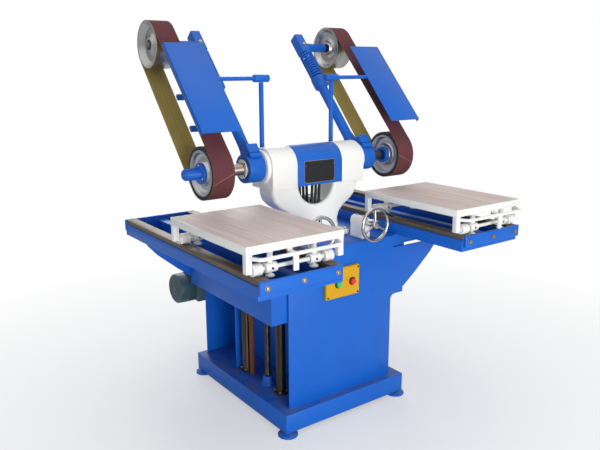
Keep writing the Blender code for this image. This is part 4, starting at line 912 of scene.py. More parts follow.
def cover_ring(side, sign):
    """The slotted ring that closes a bearing, on the end of the nose; its slots are black blocks,
    painted shade.
    """
    ring = turned("ring", [(0, 0.0262), (0, 0.0415), (0.0035, 0.0415), (0.0035, 0.0262)],
                  (sign * NOSE_END, SPINDLE.y, SPINDLE.z), (sign, 0, 0), CREAM, 0.0006, ring=True)
    notch_shades = []
    for degrees in (45, 135, 225, 315):
        angle = math.radians(degrees)
        # The slots are not cut: a black block stands in for the shade inside each one, painted shade.
        notch = block("notch", (-0.002, -0.003, -0.0035), (0.002, 0.003, 0.0035), BLACK, 0.0003)
        notch.rotation_euler = (angle, 0, 0)
        notch.location = (sign * (NOSE_END + 0.003), SPINDLE.y + NOTCH_CIRCLE * math.cos(angle),
                          SPINDLE.z + NOTCH_CIRCLE * math.sin(angle))
        grab(notch)
        bpy.ops.object.transform_apply(location=True, rotation=True)
        notch_shades.append(notch)
    place(join("bearing_ring_" + side, ring, *notch_shades), "machine_frame")


for sign, side in SIDES:
    cover_ring(side, sign)
print("bearing rings at", round(NOSE_END, 4))

# %% [markdown]
# ## Pulley cover and bare name plate
# A half round of blue sheet hides the drive pulley. Its outline is a straight side, a half circle
# and a straight side, drawn once and pushed along the spindle, then given its two and a half
# millimetres by the Solidify modifier. On its front sits a dark plate held by four drive pins, left
# bare here.

# %% Cover sheet
cover = draw([Vector((cover_low.x, y, z)) for y, z in dee(HOUSING_RADIUS, cover_low.z)])
bpy.ops.mesh.extrude_region_move(
    TRANSFORM_OT_translate={"value": (cover_high.x - cover_low.x, 0, 0)})
bpy.ops.mesh.normals_make_consistent(inside=False)
bpy.ops.object.mode_set(mode="OBJECT")
if max(cover.data.polygons, key=lambda face: face.center.z).normal.z < 0:
    bpy.ops.object.mode_set(mode="EDIT")
    bpy.ops.mesh.select_all(action="SELECT")
    bpy.ops.mesh.flip_normals()
    bpy.ops.object.mode_set(mode="OBJECT")
wall = cover.modifiers.new("wall", "SOLIDIFY")
wall.thickness = 0.0025
wall.offset = -1.0
bpy.ops.object.modifier_apply(modifier=wall.name)
finish(cover, "pulley_cover_sheet", BLUE, 0.0007)
place(cover, "machine_frame", "pulley_cover", slot="blue_paint")
print("cover radius", round(HOUSING_RADIUS, 4))

# %% Bare name plate and its pins
PLATE_X, PLATE_HALF = -0.005, 0.083
PLATE_LOW = cover_low.z + 0.012


def bent_plate(name, half, low, top, thick, paint):
    """A thin plate lying on the cover's front, its top following the start of the round."""
    rise = [math.radians(top * k / 4) for k in range(5)]
    face = [(HOUSING_RADIUS + thick, low - SPINDLE.z)]
    face += [((HOUSING_RADIUS + thick) * math.cos(a), (HOUSING_RADIUS + thick) * math.sin(a))
             for a in rise]
    face += [(HOUSING_RADIUS * math.cos(a), HOUSING_RADIUS * math.sin(a)) for a in reversed(rise)]
    face.append((HOUSING_RADIUS, low - SPINDLE.z))
    return plate(name, [(SPINDLE.y - u, SPINDLE.z + v) for u, v in face], "X", PLATE_X - half,
                 PLATE_X + half, paint, 0.0003, 1)


name_plate = bent_plate("bare_plate", PLATE_HALF, PLATE_LOW, 12.0, 0.0014, BLACK)
edge = bent_plate("plate_edge", PLATE_HALF + 0.002, PLATE_LOW - 0.002, 13.4, 0.0009, ZINC)
pins = [turned("pin", [(0, 0), (0, 0.0022), (0.0008, 0.0018), (0.0014, 0)],
               (x, cover_low.y - 0.0014, z), FRONT, ZINC, 0.0, steps=16)
        for x in (PLATE_X - PLATE_HALF + 0.005, PLATE_X + PLATE_HALF - 0.005)
        for z in (PLATE_LOW + 0.005, SPINDLE.z - 0.002)]
place(join("bare_name_plate", name_plate, edge, *pins), "machine_frame")
print("plate held by", len(pins), "pins")

# %% [markdown]
# ## Spindle, wheels and tyres
# The spindle is ground steel with a grooved pulley in the middle. At each end it carries a cast
# aluminium contact wheel with a rubber tyre vulcanised on, clamped by a blue flange. All of them are
# turned parts, so each is a profile drawn from the axis outwards and spun in seventy-two steps. The
# dish in the wheel's face is part of the profile.

# %% Spindle and pulley
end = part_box("spindle_shaft")[1].x
STEP = 0.084            # length of the thinner seat at each end
PULLEY, JOURNAL, STUB, GROOVE_FLOOR, GROOVE_PITCH = 0.0595, 0.0249, 0.0158, 0.048, 0.020
grooves = []
for mid in (end - GROOVE_PITCH, end, end + GROOVE_PITCH):
    grooves += [(mid - 0.008, PULLEY), (mid - 0.003, GROOVE_FLOOR), (mid + 0.003, GROOVE_FLOOR),
                (mid + 0.008, PULLEY)]
near_end = [(0, 0), (0, 0.013), (0.003, STUB), (STEP, STUB), (STEP, JOURNAL),
            (end - 0.033, JOURNAL), (end - 0.033, PULLEY)]
far_end = [(2 * end - along, radius) for along, radius in reversed(near_end)]
spindle = turned("spindle_ground", near_end + grooves + far_end, (-end, SPINDLE.y, SPINDLE.z), RIGHT,
                 SPINDLE_STEEL, 0.0004)
seat_in, seat_out = HEAD_X - HALF_BELT - 0.0123, HEAD_X - HALF_BELT - GAP
seats = [turned("seat_collar", [(seat_in, 0.0245), (seat_in, 0.0385), (seat_out, 0.0400),
                                (seat_out, 0.0245)], SPINDLE, (sign, 0, 0), BLUE, 0.0015, ring=True)
         for sign, side in SIDES]
place(join("spindle_ground", spindle, *seats), "spindle", "spindle_shaft", slot="turned_steel")
print("spindle length", round(2 * end, 3))

# %% Right wheel, tyre and clamp, then the left ones as mirror copies
wheel_centre = (HEAD_X, SPINDLE.y, SPINDLE.z)
rim = TYRE_RADIUS - 0.0153
wheel = turned("contact_wheel_right_turned",
               [(-HALF_BELT, 0.0253), (-HALF_BELT, 0.045), (-HALF_BELT + 0.018, 0.049),
                (-HALF_BELT + 0.023, 0.058), (-HALF_BELT + 0.022, 0.080), (-HALF_BELT, 0.086),
                (-HALF_BELT, rim), (HALF_BELT, rim), (HALF_BELT, 0.086),
                (HALF_BELT - 0.014, 0.080), (HALF_BELT - 0.020, 0.068), (HALF_BELT - 0.020, 0.054),
                (HALF_BELT - 0.006, 0.046), (HALF_BELT - 0.006, 0.0253)],
               wheel_centre, RIGHT, WHEEL_ALU, 0.0012, ring=True)
tyre = turned("contact_tyre_right_moulded",
              [(-HALF_BELT, rim + GAP), (-HALF_BELT, TYRE_RADIUS - 0.0025),
               (-HALF_BELT + 0.0025, TYRE_RADIUS), (HALF_BELT - 0.0025, TYRE_RADIUS),
               (HALF_BELT, TYRE_RADIUS - 0.0025), (HALF_BELT, rim + GAP)],
              wheel_centre, RIGHT, RUBBER, 0.0008, ring=True)
base = HALF_BELT - 0.0057
tip = HALF_BELT + 0.073
clamp = turned("clamp", [(base, 0.0163), (base, 0.044), (base + 0.012, 0.044), (base + 0.014, 0.0245),
                         (tip - 0.002, 0.024), (tip, 0.022), (tip, 0.0163)],
               wheel_centre, RIGHT, BLUE, 0.0010, ring=True)
cap = turned("cap", [(tip - 0.004, 0), (tip - 0.004, 0.0195), (tip + 0.0055, 0.0185), (tip + 0.0055, 0)],
             wheel_centre, RIGHT, BLUE, 0.0012)
flange_bolts = bolted("flange_bolts", SMALL_BOLT,
                      [(HEAD_X + base + 0.0120, SPINDLE.y + 0.034 * math.cos(math.radians(a)),
                        SPINDLE.z + 0.034 * math.sin(math.radians(a))) for a in (90, 210, 330)], RIGHT)
clamp = join("clamp_boss_right_turned", clamp, cap, flange_bolts)
place_pair(wheel, "spindle", "contact_wheel_right", "machined_aluminium")
place_pair(tyre, "spindle", "contact_tyre_right", "black_rubber")
place_pair(clamp, "spindle", "clamp_boss_right", "blue_paint")
print("wheels at", round(HEAD_X, 3), "rim", round(rim, 4))

# %% [markdown]
# ## Belts
# Each belt is one strip of cloth and grain, stretched over a wheel at each end. The path is two arcs
# joined by two straight runs, drawn once round, extruded to the belt's width and given its thickness
# outwards. The Solidify modifier paints the new side with the second material, so the outer face is
# grain and the inner face is bare cloth. The same loop, smaller and all rubber, makes the three
# drive belts that run from the spindle's pulley down through the neck.

# %% A loop round two wheels
def belt_path(big, small, apart, turns=56):
    """Points round a wheel at the origin and a smaller one straight above it."""
    slope = math.asin((big - small) / apart)
    spots = []
    for centre, radius, start, sweep in ((0.0, big, slope, -(math.pi + 2 * slope)),
                                         (apart, small, math.pi - slope, -(math.pi - 2 * slope))):
        for k in range(turns + 1):
            angle = start + sweep * k / turns
            spots.append((radius * math.cos(angle), centre + radius * math.sin(angle)))
    return spots


def strip_round(name, spots, width, thick, inner, outer):
    """A strip along a closed path in the Y-Z plane: one material inside, another outside."""
    made = draw(spots + spots[:1])
    bpy.ops.mesh.select_all(action="SELECT")
    bpy.ops.mesh.remove_doubles(threshold=1e-6)
    bpy.ops.mesh.extrude_region_move(TRANSFORM_OT_translate={"value": (width, 0, 0)})
    bpy.ops.mesh.select_all(action="SELECT")
    bpy.ops.mesh.normals_make_consistent(inside=False)
    bpy.ops.object.mode_set(mode="OBJECT")
    if max(made.data.polygons, key=lambda face: face.center.z).normal.z > 0:
        bpy.ops.object.mode_set(mode="EDIT")
        bpy.ops.mesh.flip_normals()
        bpy.ops.object.mode_set(mode="OBJECT")
    made.data.materials.append(inner)
    made.data.materials.append(outer)
    strip = made.modifiers.new("strip", "SOLIDIFY")
    strip.thickness = thick
    strip.offset = -1.0
    strip.material_offset = 1
    strip.material_offset_rim = 0
    bpy.ops.object.modifier_apply(modifier=strip.name)
    return finish(made, name, None)


print("belt tools ready")

# %% The two sanding belts
path_spots = [Vector((HEAD_X - HALF_BELT, y, z))
              for y, z in belt_path(TYRE_RADIUS + GAP, IDLER_RADIUS + GAP, ARM_LENGTH)]
belt = lean(strip_round("abrasive_belt_right_strip", path_spots, BELT_WIDTH, 0.0014, CLOTH, ABRASIVE))
place_pair(belt, "arm_right", "abrasive_belt_right", "abrasive_belt")
print("belt path points:", len(path_spots))

# %% Three drive belts from the pulley down into the neck
DRIVE_DROP, DRIVE_BIG, DRIVE_SMALL, DRIVE_WIDTH, DRIVE_THICK = 0.480, 0.0495, 0.026, 0.010, 0.0085
for k in range(3):
    left_edge = (k - 1) * GROOVE_PITCH - DRIVE_WIDTH / 2
    path_spots = [Vector((left_edge, SPINDLE.y - y, SPINDLE.z - z))
                  for y, z in belt_path(DRIVE_BIG, DRIVE_SMALL, DRIVE_DROP, 32)]
    loop = strip_round("drive_belt_%d" % (k + 1), path_spots, DRIVE_WIDTH, DRIVE_THICK, RUBBER, RUBBER)
    place(loop, "machine_frame")
print("drive belts reach down", DRIVE_DROP)

# %% [markdown]
# ## Arms, tension slides and springs
# An arm is a split hub clamped round the bearing nose, a stout tube and a cup for the spring. It is
# drawn upright about the spindle axis, where every size is easy, and then tipped back as a whole.
# The hub's two ears are drawn together by bolts across the saw cut. The slide above carries the
# idler's axle, and a coil spring between cup and slide keeps the belt tight.

# %% One arm, upright
HUB_IN, HUB_OUT, HUB_RADIUS = COLLAR_END + 0.0033, NOSE_END - 0.0037, 0.062
HUB_BORE = NOSE_RADIUS + 0.0004
EAR_LOW, SAW_LOW, SAW_HIGH, EAR_HIGH = 0.010, 0.0295, 0.0325, 0.076
SEAT, YOKE = 0.492, 0.653


def build_arm(sign, side):
    """One arm from hub to spring cup, drawn upright and leaned; the left one has two cross lugs."""
    x = sign * ARM_X
    hub = turned("arm", [(HUB_IN, HUB_BORE), (HUB_IN, HUB_RADIUS), (HUB_OUT, HUB_RADIUS),
                         (HUB_OUT, HUB_BORE)], (0, 0, 0), (sign, 0, 0), BLUE, 0.0025, ring=True)
    ears = [block("ear", (sign * (HUB_IN + 0.010), -HUB_RADIUS - 0.015, low),
                  (sign * (HUB_OUT - 0.010), -0.038, high), BLUE, 0.004, 4)
            for low, high in ((EAR_LOW, SAW_LOW), (SAW_HIGH, EAR_HIGH))]
    ears.append(block("ear_root", (sign * (HUB_IN + 0.012), -0.045, 0.040),
                      (sign * (HUB_OUT - 0.012), -0.010, EAR_HIGH - 0.004), BLUE, 0.006, 4))
    tube = turned("tube", [(0.060, 0), (0.060, 0.024), (SEAT - 0.062, 0.024), (SEAT - 0.054, 0.036),
                           (SEAT, 0.036), (SEAT, 0.0125)], (x, 0, 0), UP, BLUE, 0.0015)
    web = plate("web", [(-0.046, 0.038), (0.050, 0.038), (0.024, 0.150), (-0.024, 0.150)], "X",
                x - 0.009, x + 0.009, BLUE, 0.004, 3)
    fillet = turned("fillet", [(0.046, 0.0), (0.046, 0.042), (0.060, 0.037), (0.074, 0.031),
                               (0.096, 0.0262), (0.125, 0.0238)], (x, 0, 0), UP, BLUE, 0.0,
                    smooth=60)
    heads = bolted("ear_bolts", SMALL_BOLT,
                   [(sign * (HUB_IN + along), -0.064, EAR_HIGH - 0.0005) for along in (0.024, 0.054)],
                   UP)
    parts = [hub, tube, web, fillet, heads] + ears
    if sign < 0:
        for along in (0.226, 0.398):
            parts.append(block("lug", (sign * ARM_X, -0.008, along - 0.012),
                               (sign * (HEAD_X + 0.010), 0.008, along + 0.012), BLUE, 0.002, 2))
            parts.append(turned("lug_weld", [(0, 0.020), (0.004, 0.014)],
                                (sign * (ARM_X + 0.019), 0, along), (sign, 0, 0), BLUE, 0.0))
    return place(lean(join("arm_%s_cast" % side, *parts)), "arm_" + side, "arm_" + side,
                 slot="blue_paint")


for sign, side in SIDES:
    build_arm(sign, side)
print("hub from", HUB_IN, "to", HUB_OUT)

# %% Tension slide
axle_end = HEAD_X + HALF_BELT - 0.004
shoulder_long = seat_in + 0.0001 - ARM_X - 0.02
yoke = block("yoke", (ARM_X - 0.025, -0.027, YOKE), (ARM_X + 0.025, 0.027, YOKE + 0.118), BLUE, 0.006, 4)
axle = bar("axle", (ARM_X, 0, ARM_LENGTH), (axle_end - 0.002, 0, ARM_LENGTH), 0.0124, SPINDLE_STEEL)
shoulder = turned("shoulder", [(0, 0.024), (0.030, 0.022), (0.060, 0.021), (shoulder_long, 0.021),
                               (shoulder_long, 0.012)],
                  (ARM_X + 0.02, 0, ARM_LENGTH), RIGHT, BLUE, 0.001)
guide = bar("guide", (ARM_X, 0, 0.305), (ARM_X, 0, YOKE + 0.01), 0.0119, BLUE)
side_bar = block("side_bar", (ARM_X + 0.0375, -0.010, SEAT - 0.045),
                 (ARM_X + 0.0435, 0.010, YOKE + 0.040), BLUE, 0.001)
bridge = block("bridge", (ARM_X, -0.010, YOKE + 0.010), (ARM_X + 0.040, 0.010, YOKE + 0.034),
               BLUE, 0.002)
yoke_bolt = bolted("yoke_bolt", BOLT, [(ARM_X, -0.0268, ARM_LENGTH)], FRONT)
bar_bolt = bolted("bar_bolt", SMALL_BOLT, [(ARM_X + 0.0433, 0, YOKE + 0.022)], RIGHT)
end_nut = bolted("end_nut", BOLT, [(axle_end - 0.012, 0, ARM_LENGTH)], RIGHT)
slide = lean(join("tension_slide_right_made", yoke, axle, shoulder, guide, side_bar, bridge, yoke_bolt,
                  bar_bolt, end_nut))
place_pair(slide, "tension_slide_right", "tension_slide_right", "blue_paint")

print("slides carry their axles at", round(ARM_LENGTH, 4))

# %% Coil springs between cups and slides
WIRE, COIL_RADIUS, ROUNDS = 0.0050, 0.028, 10
ring = [(COIL_RADIUS + WIRE * math.cos(math.pi * k / 6), WIRE * math.sin(math.pi * k / 6))
        for k in range(12)]
clear = SEAT + GAP + WIRE
coil = wound("tension_spring_right_coil", ring, (ARM_X, 0, clear),
             (YOKE - GAP - WIRE - clear) / ROUNDS, ROUNDS, 32, BLUE)
lean(coil)
for side, piece in (("left", copy(coil, "tension_spring_left_coil", mirror=True)), ("right", coil)):
    sign = -1 if side == "left" else 1
    place(piece, "arm_" + side, "tension_spring_" + side, slot="blue_paint")
    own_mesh(piece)

# %% [markdown]
# ## Idler wheels
# The idler is a dished aluminium casting faced on both sides, running on ball bearings on its axle.
# Its rim is a little higher in the middle, which keeps the belt centred. The profile is drawn across
# the wheel and spun; a dark bearing seal fills the hub on each side.

# %% Idler, seals and mirror copy
idler = turned("idler", [(-HALF_BELT + 0.002, 0.0145), (-HALF_BELT + 0.002, 0.031),
                         (-HALF_BELT + 0.016, 0.036), (-HALF_BELT + 0.024, 0.050),
                         (-HALF_BELT + 0.026, 0.078), (-HALF_BELT + 0.012, 0.090),
                         (-HALF_BELT, 0.0965), (-HALF_BELT, IDLER_RADIUS - 0.001),
                         (0, IDLER_RADIUS), (HALF_BELT, IDLER_RADIUS - 0.001), (HALF_BELT, 0.0965),
                         (HALF_BELT - 0.014, 0.090), (HALF_BELT - 0.027, 0.078),
                         (HALF_BELT - 0.026, 0.050), (HALF_BELT - 0.018, 0.036),
                         (HALF_BELT - 0.010, 0.031), (HALF_BELT - 0.010, 0.0145)],
               IDLER_AXIS, RIGHT, IDLER_ALU, 0.001, ring=True)
seals = [turned("seal", [(a, 0.0130), (a, 0.0235), (b, 0.0225), (b, 0.0130)], IDLER_AXIS, RIGHT,
                BLACK, 0.0005, ring=True)
         for a, b in ((-HALF_BELT + 0.003, -HALF_BELT + 0.0005),
                      (HALF_BELT - 0.011, HALF_BELT - 0.0085))]
idler = join("idler_wheel_right_turned", idler, *seals)
place_pair(idler, "idler_right", "idler_wheel_right", "machined_aluminium")
print("idler at", IDLER_AXIS[:])

# %% [markdown]
# ## Guards and their posts
# A flat sheet with one folded edge hangs in front of each belt. It is welded to a rod, and the rod
# ends in a sleeve that swings on a post standing on the neck. Sheet and fold are blocks three
# millimetres thin, drawn upright and leaned like the arm. Rod, sleeve and post are round, with a
# bead of weld where rod meets sleeve.

# %% Guard and post
post_axis = Vector(JOINTS["guard_right_swing"]["pos_m"])
rod_height = post_axis.z
reach_up = rod_height - SPINDLE.z
behind = post_axis.y - SPINDLE.y
ROD_RADIUS, GUARD_LOW, GUARD_HIGH, GUARD_THICK = 0.009, 0.060, 0.530, 0.003
off = -behind * math.cos(LEAN) + reach_up * math.sin(LEAN) + ROD_RADIUS - 0.001
guard_in, guard_out = [HEAD_X - 0.003 + half for half in (-0.0925, 0.0925)]
sheet = block("sheet", (guard_in, -off - GUARD_THICK, GUARD_LOW), (guard_out, -off, GUARD_HIGH),
              BLUE, 0.0008)
fold = block("fold", (guard_out - GUARD_THICK, -off - GUARD_THICK, GUARD_LOW),
             (guard_out, -off + 0.016, GUARD_HIGH), BLUE, 0.0008)
sheet = lean(join("sheet", sheet, fold))
rod = bar("rod", (post_axis.x, post_axis.y, rod_height), (HEAD_X + 0.02, post_axis.y, rod_height),
          ROD_RADIUS, BLUE)
sleeve = turned("sleeve", [(-0.0375, 0), (-0.0375, 0.0165), (0.0375, 0.0165), (0.0375, 0)], post_axis,
                RIGHT, BLUE, 0.0015)
bead = turned("bead", [(0.0372, 0.0135), (0.0385, 0.0125), (0.0415, 0.0088)], post_axis, RIGHT,
              BLUE, 0.0)
guard = join("belt_guard_right_sheet", sheet, rod, sleeve, bead)
place_pair(guard, "guard_right", "belt_guard_right", "blue_paint")

top = rod_height - 0.0165 - 2 * GAP - post_low.z
post = turned("guard_post_right_bar", [(0, 0), (0, 0.0158), (0.006, 0.0158), (0.009, 0.0105),
                                       (top, 0.0105), (top, 0)],
              (post_axis.x, post_axis.y, post_low.z), UP, BLUE, 0.0010)
place_pair(post, "machine_frame", "guard_post_right", "blue_paint")
print("guard rod at", round(rod_height, 3))

# %% [markdown]
# ## Knees, rail frames and rails
# The knee is a welded box sliding on the columns. On it lies the rail frame, three channels tied by
# a beam at each end, and two brown flat bars lie on the channels as rails. They keep their own
# shapes with eased edges. Each beam is held by three bolts with washers, a strip behind it closes
# the channels' open ends, and a rib under the right frame stands over the flare of the front sheet.

# %% Lifts with eased edges and beam bolts
FLARE_END = 0.600
BEAM_BOLTS, BEAM_BOLT_HEIGHT = (0.359, 0.510, 0.662), 0.8450
for sign, side in SIDES:
    body = "lift_" + side
    place(eased_copy("knee_" + side, "knee_%s_box" % side, BLUE, 0.0018), body, "knee_" + side,
          slot="blue_paint")
    place(eased_copy("rail_frame_" + side, "rail_frame_%s_welded" % side, BLUE, 0.0012), body,
          "rail_frame_" + side, slot="blue_paint")
    for row in ("inner", "outer"):
        node = "rail_%s_%s" % (side, row)
        place(eased_copy(node, node + "_bar", RAIL_STEEL, 0.0015), body, node,
              slot="brown_rail_steel")
    low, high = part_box("rail_frame_" + side)
    heads = bolted("front_beam_bolts_" + side, BOLT,
                   [(sign * x, low.y + 0.0002, BEAM_BOLT_HEIGHT) for x in BEAM_BOLTS], FRONT)
    place(heads, body)
    edges = sorted((low.x if sign > 0 else -high.x, high.x if sign > 0 else -low.x))
    for name, y in (("front", low.y + 0.0139), ("rear", high.y - 0.0161)):
        strip = block("channel_stop_%s_%s" % (side, name),
                      (sign * (edges[0] + 0.001), y, low.z + 0.0005),
                      (sign * (edges[1] - 0.001), y + 0.0022, low.z + 0.0225), BLUE, 0.0005)
        place(strip, body)
    tails = bolted("rear_beam_bolts_" + side, BOLT,
                   [(sign * x, high.y - 0.0002, BEAM_BOLT_HEIGHT) for x in BEAM_BOLTS], BACK)
    place(tails, body)
rib = block("rail_frame_rib", (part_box("knee_right")[1].x + 0.001, panel_high.y + 0.020, low.z - 0.054),
            (FLARE_END, panel_high.y + 0.026, low.z - GAP), BLUE, 0.001)
place(rib, "lift_right", slot="blue_paint")
print("rail frame from", round(low.y, 3), "to", round(high.y, 3))

# %% [markdown]
# ## Wheeled tables
# A table is a frame of angle bar with a plywood board lying in it, four legs, and two axles in
# T-shaped bearing blocks. The frame starts as a slab: insetting its top face and pushing it down
# makes the lip, and a second inset bridged through to the underside opens the middle. Legs, bearing
# blocks and the bent handle bar are joined to it as if welded.

# %% Table sizes and face picking
LIP, LIP_HEIGHT, LEDGE, LEG = 0.004, 0.030, 0.034, 0.024
LEG_FOOT, HANDLE_RADIUS, STRAP_FOOT = 0.886, 0.007, 0.880
BEARINGS = (0.415, 0.605)       # how far from the machine's middle the axle blocks hang
STRAP_MIDDLE = 0.5315


def faces_where(piece, test):
    """Selects the faces that pass a test, then enters edit mode."""
    grab(piece)
    bpy.ops.object.mode_set(mode="EDIT")
    bpy.ops.mesh.select_mode(type="FACE")
    bpy.ops.mesh.select_all(action="DESELECT")
    bpy.ops.object.mode_set(mode="OBJECT")
    for face in piece.data.polygons:
        face.select = test(face)
    bpy.ops.object.mode_set(mode="EDIT")


print("angle bar", LEDGE, "wide with a lip", LIP)

# %% Angle-bar frame
def angle_frame(low, high):
    """A rectangle of angle bar: lip outside, ledge inside, open in the middle."""
    start_clean()
    bpy.ops.mesh.primitive_cube_add(size=1, location=(low + high) / 2)
    made = bpy.context.object
    made.scale = high - low
    bpy.ops.object.transform_apply(location=True, rotation=True, scale=True)
    faces_where(made, lambda face: face.normal.z > 0.9)
    bpy.ops.mesh.inset(thickness=LIP)
    bpy.ops.mesh.extrude_region_move(TRANSFORM_OT_translate={"value": (0, 0, LIP - LIP_HEIGHT)})
    bpy.ops.mesh.inset(thickness=LEDGE - LIP)
    bpy.ops.object.mode_set(mode="OBJECT")
    faces_where(made, lambda face: face.normal.z < -0.9)
    bpy.ops.mesh.inset(thickness=LEDGE)
    bpy.ops.object.mode_set(mode="OBJECT")
    middle = (low + high) / 2
    opening = 2 * ((high.x - low.x) / 2 - LEDGE + 0.012) * (high.y - low.y)
    faces_where(made, lambda face: abs(face.normal.z) > 0.9 and face.center.z < high.z - 0.01
                and abs(face.center.x - middle.x) < 0.002 and abs(face.center.y - middle.y) < 0.002
                and face.area < opening)
    bpy.ops.mesh.bridge_edge_loops()
    return finish(made, "angle_frame", WHITE, 0.0014)


print("frame tool ready")

# %% Legs, bearing blocks, handle and strap
def build_table(sign, side):
    """One table: frame, four legs, four T-shaped bearing blocks, a bent handle and its strap."""
    axle_y = [JOINTS["wheelset_%s_%s_spin" % (side, end)]["pos_m"][1] for end in ("front", "rear")]
    axle_z = JOINTS["wheelset_%s_front_spin" % side]["pos_m"][2]
    board_low, board_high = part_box("table_board_" + side)
    low = Vector((board_low.x - LIP - GAP, board_low.y - LIP - GAP, board_low.z - LIP - GAP))
    high = Vector((board_high.x + LIP + GAP, board_high.y + LIP + GAP, board_high.z + 0.0005))
    parts = [angle_frame(low, high)]
    for x in (low.x + 0.0005, high.x - LEG - 0.0005):
        for y in (low.y + 0.0005, high.y - LEG - 0.0005):
            parts.append(block("leg", (x, y, LEG_FOOT), (x + LEG, y + LEG, low.z + 0.002), WHITE,
                               0.002, 3))
    for y in axle_y:
        for x in BEARINGS:
            spot = (sign * x, y, axle_z)
            parts.append(turned("boss", [(-0.024, 0.0086), (-0.024, 0.0185), (0.024, 0.0185),
                                         (0.024, 0.0086)], spot, RIGHT, WHITE, 0.0016,
                                ring=True, steps=32))
            parts.append(turned("stem", [(-0.032, 0), (-0.032, 0.017), (-0.027, 0.017),
                                         (-0.022, 0.0075), (-0.0185, 0.0075)], spot, UP,
                                WHITE, 0.0008, steps=28))
            parts.append(turned("neck", [(0.018, 0.0105), (low.z + 0.002 - axle_z, 0.0105),
                                         (low.z + 0.002 - axle_z, 0)], spot, UP, WHITE,
                                0.0008, steps=24))
            parts.append(bolted("grub", SCREW, [(sign * x, y - 0.0178, axle_z)], FRONT))
    bar_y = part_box("table_frame_" + side)[0].y + HANDLE_RADIUS
    bar_z = low.z - 0.012
    left, right = low.x + 0.016, high.x - 0.016
    parts.append(bent("handle", [(left, low.y + 0.006, bar_z), (left + 0.022, bar_y, bar_z),
                                 (right - 0.022, bar_y, bar_z), (right, low.y + 0.006, bar_z)],
                      HANDLE_RADIUS, WHITE, fold=0.012))
    middle = sign * STRAP_MIDDLE
    for spots in (((bar_y - 0.002, STRAP_FOOT), (bar_y + 0.006, bar_z + 0.004)),
                  ((bar_y - 0.002, bar_z - 0.004), (low.y + 0.010, bar_z + 0.004)),
                  ((low.y + 0.002, bar_z - 0.004), (low.y + 0.010, low.z + 0.002))):
        (y0, z0), (y1, z1) = spots
        parts.append(block("strap", (middle - 0.011, y0, z0), (middle + 0.011, y1, z1), WHITE, 0.0012))
    place(join("table_frame_%s_welded" % side, *parts), "table_" + side, "table_frame_" + side,
          slot="white_paint")


for sign, side in SIDES:
    build_table(sign, side)
print("table frames built")

# %% Boards with a plywood edge
for sign, side in SIDES:
    board = eased_copy("table_board_" + side, "table_board_%s_ply" % side, PLYWOOD, 0.0012)
    board.data.materials.append(EDGE_PLY)
    for face in board.data.polygons:
        if abs(face.normal.z) < 0.5:
            face.material_index = 1
    place(board, "table_" + side, "table_board_" + side, slot="plywood")
print("boards", round(board.dimensions.x, 3), "by", round(board.dimensions.y, 3))

# %% Wheelsets: one axle with two grooved rollers, copied to four places
first = JOINTS["wheelset_right_front_spin"]["pos_m"]
rollers = [(-0.019, 0.0), (-0.019, 0.021), (-0.017, 0.022), (-0.0075, 0.022), (-0.0065, 0.0185),
           (-0.0050, 0.0185), (-0.0040, 0.022), (0.0040, 0.022), (0.0050, 0.0185),
           (0.0065, 0.0185), (0.0075, 0.022), (0.017, 0.022), (0.019, 0.021), (0.019, 0.0)]
axle = bar("axle", (0.333, first[1], first[2]), (0.685, first[1], first[2]), 0.0079, WHITE)
discs = [turned("roller", rollers, (x, first[1], first[2]), RIGHT, WHITE, 0.0004, steps=48)
         for x in (0.355, 0.663)]
wheelset = join("wheelset_pattern", axle, *discs)
for sign, side in SIDES:
    for end in ("front", "rear"):
        name = "wheelset_%s_%s" % (side, end)
        shift = JOINTS[name + "_spin"]["pos_m"][1] - first[1]
        place(copy(wheelset, name + "_turned", move=(0, shift, 0), mirror=sign < 0), name, name,
              slot="white_paint")
bpy.data.objects.remove(wheelset)
print("four wheelsets")

# %% [markdown]
# ## Handwheels
# A handwheel raises each table. Its rim is a round bar bent to a ring, three tapered spokes run to a
# turned hub, and a grip stands on the rim. The rim starts as a torus primitive of the right two
# radii, and each spoke is turned about its own line, a third of a turn from the next. The bearing
# block behind is cast and painted cream.

# %% Rim, spokes, hub and grip
turn_axis = Vector(JOINTS["handwheel_right_turn"]["pos_m"])
wheel_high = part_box("handwheel_right")[1]
block_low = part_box("handwheel_bearing_right")[0]
RIM = 0.074
start_clean()
bpy.ops.mesh.primitive_torus_add(major_segments=96, minor_segments=20, major_radius=RIM,
                                 minor_radius=0.0078, location=turn_axis,
                                 rotation=(math.radians(90), 0, 0))
parts = [finish(bpy.context.object, "rim", BRIGHT)]
parts.append(turned("hub", [(-0.012, 0), (-0.012, 0.017), (-0.008, 0.0195), (0.0, 0.0215),
                            (0.016, 0.0195), (block_low.y - turn_axis.y - GAP, 0.0155),
                            (block_low.y - turn_axis.y - GAP, 0)],
                    turn_axis, BACK, BRIGHT, 0.0008))
for k in range(3):
    angle = math.radians(90 + 120 * k)
    reach = Vector((math.cos(angle), 0, math.sin(angle)))
    parts.append(turned("spoke", [(0.012, 0.0085), (0.040, 0.0062), (0.069, 0.0072)],
                        turn_axis + Vector((0, 0.003, 0)), reach, BRIGHT, 0.0, steps=24))
parts.append(bar("shaft", turn_axis, (turn_axis.x, wheel_high.y, turn_axis.z), 0.0089, SCREW_STEEL))
grip = turn_axis + Vector((RIM * math.cos(math.radians(35)), 0, RIM * math.sin(math.radians(35))))
parts.append(turned("grip", [(-0.0525, 0), (-0.0515, 0.0045), (-0.048, 0.0070), (-0.032, 0.0086),
                             (-0.016, 0.0066), (-0.008, 0.0064), (-0.0075, 0.0042), (0.0, 0.0042)],
                    grip, BACK, BLACK, 0.0, steps=32))
parts.append(bolted("hub_nut", SMALL_BOLT, [(turn_axis.x, turn_axis.y - 0.0118, turn_axis.z)],
                    FRONT))
handwheel = join("handwheel_right_rim", *parts)
place_pair(handwheel, "handwheel_right", "handwheel_right", "turned_steel")
